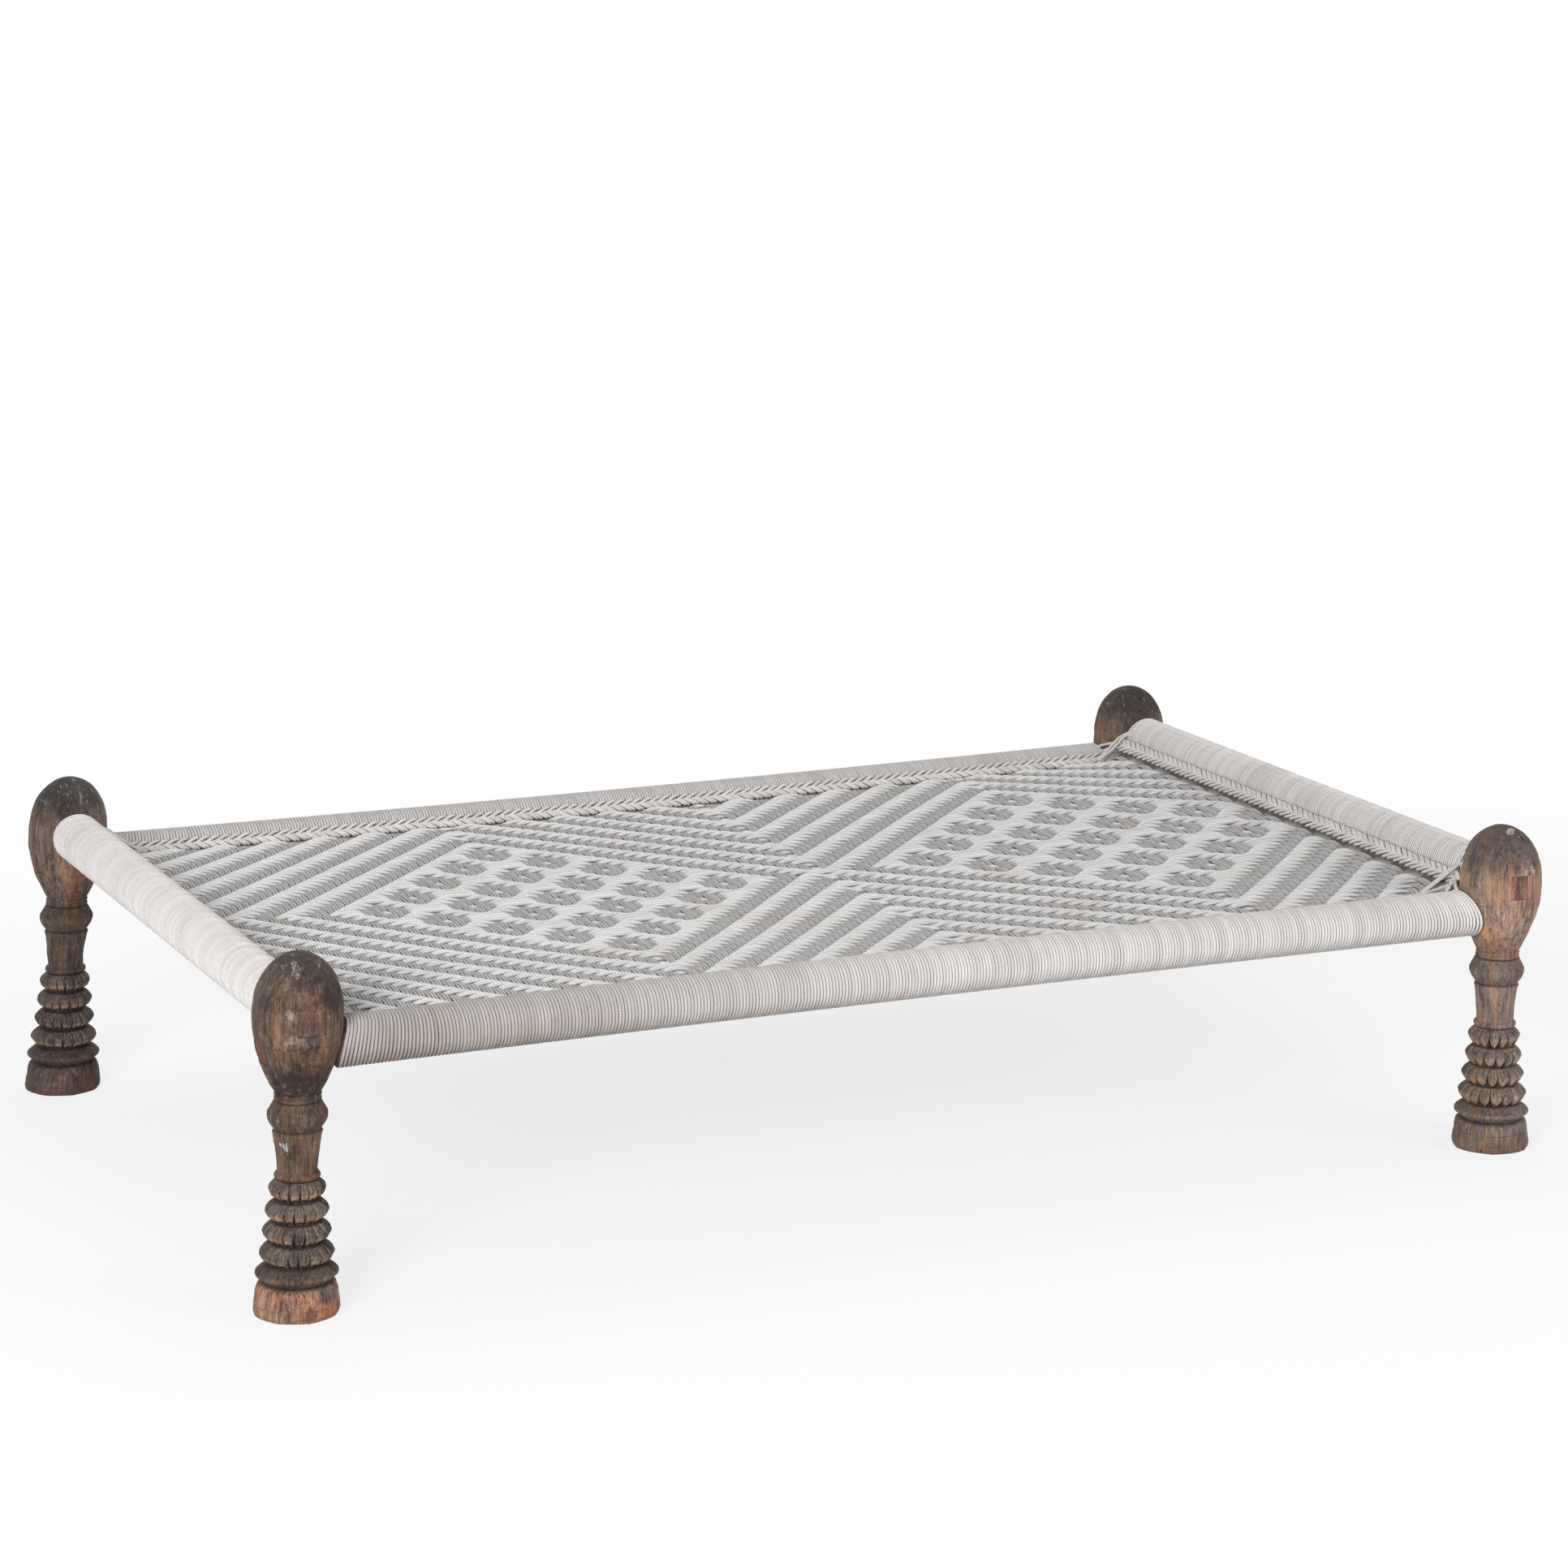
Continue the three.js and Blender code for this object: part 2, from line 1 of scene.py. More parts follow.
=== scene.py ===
"""A charpai, dressed: carved legs, cord-wound rails, twined edges and a woven cord panel.

Metres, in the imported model's frame: +Z up, +X along the bed, the floor at zero.
"""

import logging
import math
from dataclasses import dataclass
from enum import Enum

import bmesh
import bpy
import numpy as np
from mathutils import Matrix, Vector


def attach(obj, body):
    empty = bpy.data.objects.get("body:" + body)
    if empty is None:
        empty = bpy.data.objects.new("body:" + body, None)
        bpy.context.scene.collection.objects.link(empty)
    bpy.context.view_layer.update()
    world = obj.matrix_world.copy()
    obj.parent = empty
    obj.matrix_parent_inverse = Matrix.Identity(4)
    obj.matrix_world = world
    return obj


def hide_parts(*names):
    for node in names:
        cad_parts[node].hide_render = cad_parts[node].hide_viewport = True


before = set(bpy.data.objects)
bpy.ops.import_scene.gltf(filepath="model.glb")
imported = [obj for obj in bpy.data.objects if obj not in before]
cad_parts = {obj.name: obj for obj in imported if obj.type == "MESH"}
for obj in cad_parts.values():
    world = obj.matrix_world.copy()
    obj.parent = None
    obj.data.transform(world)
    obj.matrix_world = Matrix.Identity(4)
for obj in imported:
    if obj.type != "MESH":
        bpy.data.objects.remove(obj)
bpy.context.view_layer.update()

LOG = logging.getLogger("charpai")
BODY = "root"
MM = 0.001
TAU = 2.0 * math.pi

Colour = tuple[float, float, float]
Place = tuple[float, float, float]


def srgb(red: int, green: int, blue: int) -> Colour:
    """Turns a screen colour, from 0 to 255, into scene-linear numbers.

    Args:
        red: Its red.
        green: Its green.
        blue: Its blue.

    Returns:
        The three linear values.
    """
    shares = np.array([red, green, blue]) / 255.0
    linear = np.where(shares <= 0.04045, shares / 12.92, ((shares + 0.055) / 1.055) ** 2.4)
    return tuple(float(value) for value in linear)


def smooth_step(low: float, high: float, value: np.ndarray) -> np.ndarray:
    """Rises smoothly from 0 to 1.

    Args:
        low: Where the rise begins.
        high: Where it ends, which may lie below its beginning.
        value: The values to test.

    Returns:
        The shares from 0 to 1.
    """
    share = np.clip((value - low) / (high - low), 0.0, 1.0)
    return share * share * (3.0 - 2.0 * share)


# Bed sizes


@dataclass(frozen=True)
class BedPlan:
    """The bed's sizes that several pieces share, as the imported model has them."""

    middle_x: float = 9.1 * MM
    half_long: float = 852 * MM
    half_wide: float = 522 * MM
    neck_top: float = 277 * MM
    neck_radius: float = 28.84 * MM
    head_widest: float = 370 * MM
    head_radius: float = 56.6 * MM
    leg_height: float = 450 * MM
    rise_power: float = 0.9
    dome_power: float = 2.2
    splay_pivot: float = 353 * MM
    cord: float = 4.2 * MM
    fit_gap: float = 0.3 * MM
    side_rail_height: float = 332 * MM
    end_rail_height: float = 374 * MM
    side_tenon: tuple[float, float] = (36 * MM, 28 * MM)
    end_tenon: tuple[float, float] = (35 * MM, 32 * MM)
    panel_half_long: float = 797.8 * MM
    panel_half_wide: float = 473.0 * MM
    side_edge_height: float = 339.3 * MM
    end_edge_height: float = 355.3 * MM
    panel_sag: float = 3 * MM
    edge_seat: float = 4.5 * MM

    def head_radius_at(self, height: np.ndarray) -> np.ndarray:
        """Radius of a leg's egg-shaped head.

        Args:
            height: Heights above the floor.

        Returns:
            The radii at those heights.
        """
        rise = np.clip((height - self.neck_top) / (self.head_widest - self.neck_top), 0.0, 1.0)
        swell = np.sin(math.pi / 2 * rise**self.rise_power)
        low = self.neck_radius + (self.head_radius - self.neck_radius) * swell
        dome = np.clip((height - self.head_widest) / (self.leg_height - self.head_widest), 0.0, 1.0)
        high = self.head_radius * np.sqrt(1.0 - dome**self.dome_power)
        return np.where(height <= self.head_widest, low, high)

    def panel_height(self, long_share: np.ndarray, wide_share: np.ndarray) -> np.ndarray:
        """Middle height of the woven panel, high at the end rails and low at the side rails.

        Args:
            long_share: Places along the bed, from -1 to 1.
            wide_share: Places across the bed, from -1 to 1.

        Returns:
            The heights above the floor.
        """
        from_ends = self.panel_half_long * (1.0 - long_share**2)
        from_sides = self.panel_half_wide * (1.0 - wide_share**2)
        total = np.maximum(from_ends + from_sides, 1e-9)
        share = np.where(from_ends + from_sides > 1e-9, from_sides / total, 0.5)
        sag = self.panel_sag * (1.0 - long_share**2) * (1.0 - wide_share**2)
        return self.side_edge_height + (self.end_edge_height - self.side_edge_height) * share - sag


PLAN = BedPlan()


# Node benches


class Field:
    """A node's output, reckoned with like a number or a vector."""

    def __init__(self, bench: "NodeBench", socket: bpy.types.NodeSocket) -> None:
        """Keeps the output and the bench on which its followers are placed."""
        self.bench, self.socket = bench, socket

    def __add__(self, other: object) -> "Field":
        """Adds a value."""
        return self.bench.reckon("ADD", self, other)

    def __sub__(self, other: object) -> "Field":
        """Takes a value away."""
        return self.bench.reckon("SUBTRACT", self, other)

    def __rsub__(self, other: object) -> "Field":
        """Is taken away from a value."""
        return self.bench.reckon("SUBTRACT", other, self)

    def __mul__(self, other: object) -> "Field":
        """Multiplies, or scales a vector."""
        return self.bench.reckon("MULTIPLY", self, other)

    def __truediv__(self, other: object) -> "Field":
        """Divides by a value."""
        return self.bench.reckon("DIVIDE", self, other)

    def __pow__(self, other: object) -> "Field":
        """Raises to a power."""
        return self.bench.reckon("POWER", self, other)

    def __abs__(self) -> "Field":
        """Drops the sign."""
        return self.bench.math("ABSOLUTE", self)

    __radd__, __rmul__ = __add__, __mul__


class NodeBench:
    """Places nodes in one tree and joins them."""

    def __init__(self, tree: bpy.types.NodeTree) -> None:
        """Keeps the tree that the nodes go in."""
        self.tree = tree

    def feed(self, into: bpy.types.NodeSocket, value: object) -> None:
        """Links a field to an input, or sets the input to a plain value.

        Args:
            into: The input.
            value: A field, or the value to set.
        """
        if isinstance(value, Field):
            self.tree.links.new(value.socket, into)
        else:
            into.default_value = value

    def node(self, kind: str, feeds: dict | None = None, **settings: object) -> bpy.types.Node:
        """Adds one node.

        Args:
            kind: The node's type name.
            feeds: Fields or plain values, by the input's name or number.
            settings: The node's own settings.

        Returns:
            The new node.
        """
        made = self.tree.nodes.new(kind)
        for key, value in settings.items():
            setattr(made, key, value)
        for key, value in (feeds or {}).items():
            self.feed(made.inputs[key], value)
        return made

    def make(self, kind: str, feeds: dict | None = None, output: int | str = 0, **settings: object) -> Field:
        """Adds one node and returns the field of one output."""
        return Field(self, self.node(kind, feeds, **settings).outputs[output])

    def math(self, operation: str, *values: object, clamp: bool = False) -> Field:
        """Adds a Math node of one to three values, kept from 0 to 1 if asked."""
        return self.make("ShaderNodeMath", dict(enumerate(values)), operation=operation, use_clamp=clamp)

    def reckon(self, operation: str, first: object, second: object) -> Field:
        """Joins two values, as vectors if one of them is a vector.

        Args:
            operation: The Math or Vector Math operation.
            first: A field, a number or a vector.
            second: Another.

        Returns:
            The result. A vector times a number is scaled.
        """
        wide = [self.is_vector(first), self.is_vector(second)]
        if not any(wide):
            return self.math(operation, first, second)
        if all(wide):
            return self.make("ShaderNodeVectorMath", {0: first, 1: second}, operation=operation)
        vector, number = (first, second) if wide[0] else (second, first)
        return self.make("ShaderNodeVectorMath", {0: vector, 3: number}, operation="SCALE")

    @staticmethod
    def is_vector(value: object) -> bool:
        """Tells a vector or a colour from a number."""
        if isinstance(value, Field):
            return value.socket.type in ("VECTOR", "RGBA")
        return isinstance(value, tuple)

    def dot(self, first: object, second: object) -> Field:
        """Adds a dot product."""
        return self.make("ShaderNodeVectorMath", {0: first, 1: second}, "Value", operation="DOT_PRODUCT")

    def length(self, vector: object) -> Field:
        """Measures a vector's length."""
        return self.make("ShaderNodeVectorMath", {0: vector}, "Value", operation="LENGTH")

    def combine(self, x: object = 0.0, y: object = 0.0, z: object = 0.0) -> Field:
        """Makes a vector of three numbers."""
        return self.make("ShaderNodeCombineXYZ", {0: x, 1: y, 2: z})

    def split(self, vector: object) -> tuple[Field, ...]:
        """Returns a vector's three numbers."""
        return tuple(Field(self, out) for out in self.node("ShaderNodeSeparateXYZ", {0: vector}).outputs)

    def attribute(self, name: str, output: str = "Fac") -> Field:
        """Reads a mesh attribute in a material."""
        return self.make("ShaderNodeAttribute", output=output, attribute_name=name)

    def remap(
        self, value: object, low: float, high: float, to_low: float = 0.0, to_high: float = 1.0
    ) -> Field:
        """Maps one range of numbers on another, by default 0 to 1, and clamps the result."""
        return self.make("ShaderNodeMapRange", {0: value, 1: low, 2: high, 3: to_low, 4: to_high})

    def noise(self, vector: object, scale: float, detail: float = 2.0, rough: float = 0.5) -> Field:
        """Adds a grey Noise Texture with its scale, its octaves and how strong the fine ones are."""
        feeds = {"Vector": vector, "Scale": scale, "Detail": detail, "Roughness": rough}
        return self.make("ShaderNodeTexNoise", feeds)

    def window(self, value: object, low: float, high: float, soft: float) -> Field:
        """Makes a share that is 1 between low and high and fades outside them over the soft width."""
        return self.remap(value, low - soft, low + soft) * self.remap(value, high + soft, high - soft)

    def ramp(self, value: object, stops: list[tuple[float, Colour]]) -> Field:
        """Looks a colour up between given ones.

        Args:
            value: The number to look up.
            stops: Places from 0 to 1 with their colours, in order.

        Returns:
            The colour.
        """
        made = self.node("ShaderNodeValToRGB", {0: value})
        elements = made.color_ramp.elements
        for element, (place, colour) in zip((elements[0], elements[1]), (stops[0], stops[-1])):
            element.position, element.color = place, (*colour, 1.0)
        for place, colour in stops[1:-1]:
            elements.new(place).color = (*colour, 1.0)
        return Field(self, made.outputs[0])

    def mix(self, share: object, first: object, second: object, blend: str = "MIX") -> Field:
        """Mixes two colours.

        Args:
            share: How much of the second.
            first: The colour at 0.
            second: The colour at 1.
            blend: The node's blend type.

        Returns:
            The mixed colour.
        """
        first, second = ((*v, 1.0) if isinstance(v, tuple) else v for v in (first, second))
        feeds = {0: share, 6: first, 7: second}
        return self.make("ShaderNodeMix", feeds, 2, data_type="RGBA", blend_type=blend, clamp_factor=True)

    def shaded(self, colour: Field, shade: Field) -> Field:
        """Darkens or lightens a colour by a grey share."""
        return self.mix(1.0, colour, self.combine(shade, shade, shade), "MULTIPLY")

    def seen(self) -> Field:
        """Tells rays from the camera, straight or through gloss and clear faces, from all others.

        Returns:
            A share that is 1 for them.
        """
        path = self.node("ShaderNodeLightPath").outputs
        rays = [Field(self, path[f"Is {kind} Ray"]) for kind in ("Camera", "Glossy", "Transmission")]
        return self.math("MAXIMUM", self.math("MAXIMUM", rays[0], rays[1]), rays[2])


class Recipe(NodeBench):
    """A Geometry Nodes tree with named inputs, which ends in plain dressed geometry."""

    def __init__(self, name: str, **asks: str) -> None:
        """Makes the tree with its inputs.

        Args:
            name: The tree's name.
            asks: Under each kind of socket the inputs' names, split by commas.
        """
        super().__init__(bpy.data.node_groups.new(name, "GeometryNodeTree"))
        face = self.tree.interface
        for kind, names in {"Geometry": "Geometry", **asks, "Material": "Cord Finish"}.items():
            for ask in names.split(", "):
                face.new_socket(ask, in_out="INPUT", socket_type=f"NodeSocket{kind}")
        face.new_socket("Geometry", in_out="OUTPUT", socket_type="NodeSocketGeometry")
        self.given = {out.name: Field(self, out) for out in self.node("NodeGroupInput").outputs if out.name}
        self.factor = self.make("GeometryNodeSplineParameter", output="Factor")

    def store(
        self, onto: Field, name: str, value: object, kind: str = "FLOAT", domain: str = "POINT"
    ) -> Field:
        """Keeps a value on the geometry under a name."""
        feeds = {"Geometry": onto, "Name": name, "Value": value}
        return self.make("GeometryNodeStoreNamedAttribute", feeds, data_type=kind, domain=domain)

    def read(self, name: str, kind: str = "FLOAT") -> Field:
        """Reads a named attribute of the geometry."""
        return self.make("GeometryNodeInputNamedAttribute", {"Name": name}, data_type=kind)

    def move(self, geometry: Field, offset: Field) -> Field:
        """Moves every point by an offset."""
        return self.make("GeometryNodeSetPosition", {"Geometry": geometry, "Offset": offset})

    def given_curve(self) -> Field:
        """Turns the rows of edges that come in into curves."""
        return self.make("GeometryNodeMeshToCurve", {"Mesh": self.given["Geometry"]})

    def measured(self, curve: Field) -> Field:
        """Keeps each point's distance along its curve."""
        return self.store(curve, "along", self.make("GeometryNodeSplineParameter", output="Length"))

    def sweep(self, curve: Field, diameter: Field) -> Field:
        """Sweeps a round section along curves into closed tubes.

        Args:
            curve: The centre lines.
            diameter: The cord's diameter. Its section's corners are the tree's input Sides.

        Returns:
            The tubes.
        """
        feeds = {"Resolution": self.given["Sides"], "Radius": diameter * 0.5}
        ring = self.make("GeometryNodeCurvePrimitiveCircle", feeds, mode="RADIUS")
        feeds = {"Curve": curve, "Profile Curve": ring, "Fill Caps": True}
        return self.make("GeometryNodeCurveToMesh", feeds)

    def serve(self, geometry: Field) -> bpy.types.NodeTree:
        """Ends the tree with plain, smooth, dressed geometry.

        Args:
            geometry: What was made.

        Returns:
            The finished tree.
        """
        plain = self.make("GeometryNodeRealizeInstances", {"Geometry": geometry})
        smooth = self.make("GeometryNodeSetShadeSmooth", {0: plain})
        feeds = {"Geometry": smooth, "Material": self.given["Cord Finish"]}
        self.node("NodeGroupOutput", {0: self.make("GeometryNodeSetMaterial", feeds)})
        return self.tree


def shape(name: str, points: np.ndarray, edges: list, faces: list) -> bpy.types.Object:
    """Puts a new mesh in the scene, at the origin.

    Args:
        name: Name of the object and its mesh.
        points: The points.
        edges: Pairs of points.
        faces: Rows of points.

    Returns:
        The new object.
    """
    mesh = bpy.data.meshes.new(name)
    mesh.from_pydata(np.asarray(points).tolist(), edges, faces)
    return shown(name, mesh)


def shown(name: str, data: bpy.types.ID) -> bpy.types.Object:
    """Puts a mesh, lamp or camera in the scene.

    Args:
        name: The object's name.
        data: What it shows.

    Returns:
        The new object, at the origin.
    """
    made = bpy.data.objects.new(name, data)
    bpy.context.scene.collection.objects.link(made)
    return made


def tube_faces(rings: int, count: int) -> list[list[int]]:
    """Joins rings of points into a tube, closed by a fan at each end.

    Args:
        rings: How many rings, each of the same count, in order.
        count: Points in a ring. Two more points, the ends' centres, follow the last ring.

    Returns:
        The faces.
    """
    ring = np.arange(count)
    after = (ring + 1) % count
    base = (np.arange(rings - 1) * count)[:, None]
    quads = np.stack([base + ring, base + after, base + after + count, base + ring + count], -1)
    last, top = rings * count, (rings - 1) * count
    faces = quads.reshape(-1, 4).tolist()
    faces += [[last, b, a] for a, b in zip(ring.tolist(), after.tolist())]
    faces += [[top + a, top + b, last + 1] for a, b in zip(ring.tolist(), after.tolist())]
    return faces


def smooth_shaded(mesh: bpy.types.Mesh, sharp_from: float) -> None:
    """Shades a mesh smooth but for edges sharper than an angle in degrees."""
    mesh.polygons.foreach_set("use_smooth", np.ones(len(mesh.polygons), bool))
    mesh.set_sharp_from_angle(angle=math.radians(sharp_from))


def plain_copy(source: bpy.types.Object, name: str) -> bpy.types.Object:
    """Makes a plain mesh of an object as its modifiers leave it, and removes the object.

    Args:
        source: The object with its modifiers.
        name: Name of the plain result.

    Returns:
        The plain object.
    """
    graph = bpy.context.evaluated_depsgraph_get()
    live = source.evaluated_get(graph)
    mesh = bpy.data.meshes.new_from_object(live, preserve_all_data_layers=True, depsgraph=graph)
    source.modifiers.clear()
    bpy.data.objects.remove(source)
    mesh.name = name
    return shown(name, mesh)


def cook(recipe: bpy.types.NodeTree, name: str, paths: list, sizes: dict, marks: dict) -> bpy.types.Object:
    """Runs a tree on rows of points and returns a plain mesh object.

    Args:
        recipe: The Geometry Nodes tree.
        name: Name of the piece.
        paths: Centre lines, each an array of points.
        sizes: Values of all the tree's inputs, by name.
        marks: Attributes of the points, by name, each a list of arrays in the order of the paths.

    Returns:
        The finished piece.
    """
    starts = np.cumsum([0, *(len(path) for path in paths)])
    rows = [np.stack([np.arange(a, b - 1), np.arange(a + 1, b)], 1) for a, b in zip(starts, starts[1:])]
    base = shape(name, np.concatenate(paths), np.concatenate(rows).tolist(), [])
    for mark, arrays in marks.items():
        values = np.concatenate(arrays).astype(np.float32)
        kind, field = ("FLOAT", "value") if values.ndim == 1 else ("FLOAT_VECTOR", "vector")
        base.data.attributes.new(mark, kind, "POINT").data.foreach_set(field, values.ravel())
    modifier = base.modifiers.new("recipe", "NODES")
    modifier.node_group = recipe
    for item in recipe.interface.items_tree:
        if item.in_out == "INPUT" and item.name in sizes:
            modifier[item.identifier] = sizes[item.name]
    return plain_copy(base, name)


def carry(piece: bpy.types.Object, slot: str, *nodes: str) -> None:
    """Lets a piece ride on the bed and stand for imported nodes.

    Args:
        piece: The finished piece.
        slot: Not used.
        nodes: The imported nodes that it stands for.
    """
    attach(piece, BODY)
    if nodes:
        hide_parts(*nodes)
    LOG.info("%s: %d faces", piece.name, len(piece.data.polygons))


# Finishes


class Finish:
    """What the finishes share: a node material with one Principled shader."""

    def bench(self, rough: float, specular: float) -> tuple[bpy.types.Material, NodeBench, bpy.types.Node]:
        """Makes a bare node material.

        Args:
            rough: Its roughness.
            specular: Its specular level.

        Returns:
            The material, its bench and its shader node.
        """
        material = bpy.data.materials.new(self.name)
        material.use_nodes = True
        shader = material.node_tree.nodes["Principled BSDF"]
        shader.inputs["Roughness"].default_value = rough
        shader.inputs["Specular IOR Level"].default_value = specular
        return material, NodeBench(material.node_tree), shader


@dataclass(frozen=True)
class CottonCord(Finish):
    """Twisted cotton cord: plies, fibres, painted shade in its grooves, on its flanks and where it dips, and
    a little soiling.
    """

    name: str
    light: Colour
    # groove is the painted shade colour of the grooves, the flanks and the dips
    groove: Colour
    soil: Colour = srgb(164, 134, 108)
    ply_pitch: float = 3.1 * MM
    plies: float = 3.0
    groove_shade_share: float = 0.6
    flank_shade_share: float = 0.5
    soil_strength: float = 0.6
    tone_spread: float = 0.14
    bump_depth: float = 0.75 * MM
    dip_shade_share: float = 0.6
    # Colour of the grime round the handled place, and of the painted shade under the rail
    grime_and_underside_shade: Colour = srgb(118, 103, 95)
    handled_place: Place = (0.0, 0.0, -9.0)
    handled_reach: Place = (1.0, 1.0, 1.0)
    underside_shade_top: float = 0.0
    soil_low: float = 0.54

    def material(self) -> bpy.types.Material:
        """Builds the cord's material.

        Returns:
            The material. It reads the attributes along, lie, tone and dipped, which marks where painted shade
            darkens a cord that dips under others.
        """
        material, b, shader = self.bench(0.92, 0.18)
        shader.inputs["Sheen Weight"].default_value = 0.12
        shader.inputs["Sheen Roughness"].default_value = 0.6
        along, tone, dip_shade = (b.attribute(name) for name in ("along", "tone", "dip_shade"))
        place = b.make("ShaderNodeTexCoord", output="Object")
        normal = b.make("ShaderNodeNewGeometry", output="Normal")

        # Plies run round the cord: the share round its visible half comes from its normal
        across = b.dot(normal, b.attribute("lie", "Vector"))
        side = b.math("ARCSINE", across)
        phase = tone * 7.0 + (along / self.ply_pitch + side * (self.plies / TAU))
        ridge = abs(b.math("SINE", phase * math.pi)) ** 0.55
        fibres = b.noise(b.combine(phase * 9.0, side * 1.4, tone), 1.0, 3.0, 0.6)
        fuzz = b.noise(place, 900.0, 3.0, 0.65)

        # Painted shade: the grooves between the plies, and the flanks where neighbouring cords meet, darken
        # towards the groove colour
        groove = b.remap(ridge, 0.2, 0.85, self.groove_shade_share, 0.0)
        flank_shade = b.remap(abs(across), 0.62, 0.97, 0.0, self.flank_shade_share)
        colour = b.mix(b.math("MAXIMUM", groove, flank_shade), self.light, self.groove)
        patches = b.noise(place, 5.5, 5.0, 0.62)
        soiled = b.remap(patches, self.soil_low, 0.72, 0.0, self.soil_strength)
        colour = b.mix(soiled, colour, b.mix(0.5, colour, self.soil))
        far = b.length((place - self.handled_place) / self.handled_reach)
        grubby = b.remap(far, 1.0, 0.3, 0.0, 0.62) * b.remap(patches, 0.35, 0.6, 0.6, 1.0)
        colour = b.mix(grubby, colour, self.grime_and_underside_shade)
        # Painted shade: the cord darkens below a set height, on the rail's underside
        under = b.remap(b.split(place)[2], self.underside_shade_top, self.underside_shade_top - 20 * MM, 0.0, 0.5)
        colour = b.mix(under, colour, b.mix(0.6, colour, self.grime_and_underside_shade))
        shade = b.remap(tone, 0.0, 1.0, 1.0 - self.tone_spread, 1.0)
        colour = b.shaded(colour, shade * b.remap(fibres, 0.3, 0.7, 0.93, 1.04))
        # Painted shade where a cord dips under the cords that cross it
        b.feed(shader.inputs["Base Color"], b.mix(dip_shade * self.dip_shade_share, colour, self.groove))

        feeds = {"Strength": 1.0, "Distance": self.bump_depth, "Height": ridge + fibres * 0.25 + fuzz * 0.22}
        b.feed(shader.inputs["Normal"], b.make("ShaderNodeBump", feeds))
        return material


@dataclass(frozen=True)
class Patch:
    """One ragged patch of colour on a leg's near side, placed as it looks from the camera, in millimetres."""

    right: float
    radius: float
    height: float
    reach: Place
    colour: Colour
    strength: float = 0.8
    raggedness: float = 1.9

    def place(self) -> Place:
        """Finds its middle, from the leg's axis, in metres.

        Returns:
            The place. The two numbers turn the camera's right into the bed's axes.
        """
        cosine, sine = 0.911, 0.413
        nearer = math.sqrt(max(self.radius**2 - self.right**2, 0.0))
        x, y = cosine * self.right - sine * nearer, -sine * self.right - cosine * nearer
        return x * MM, y * MM, self.height * MM


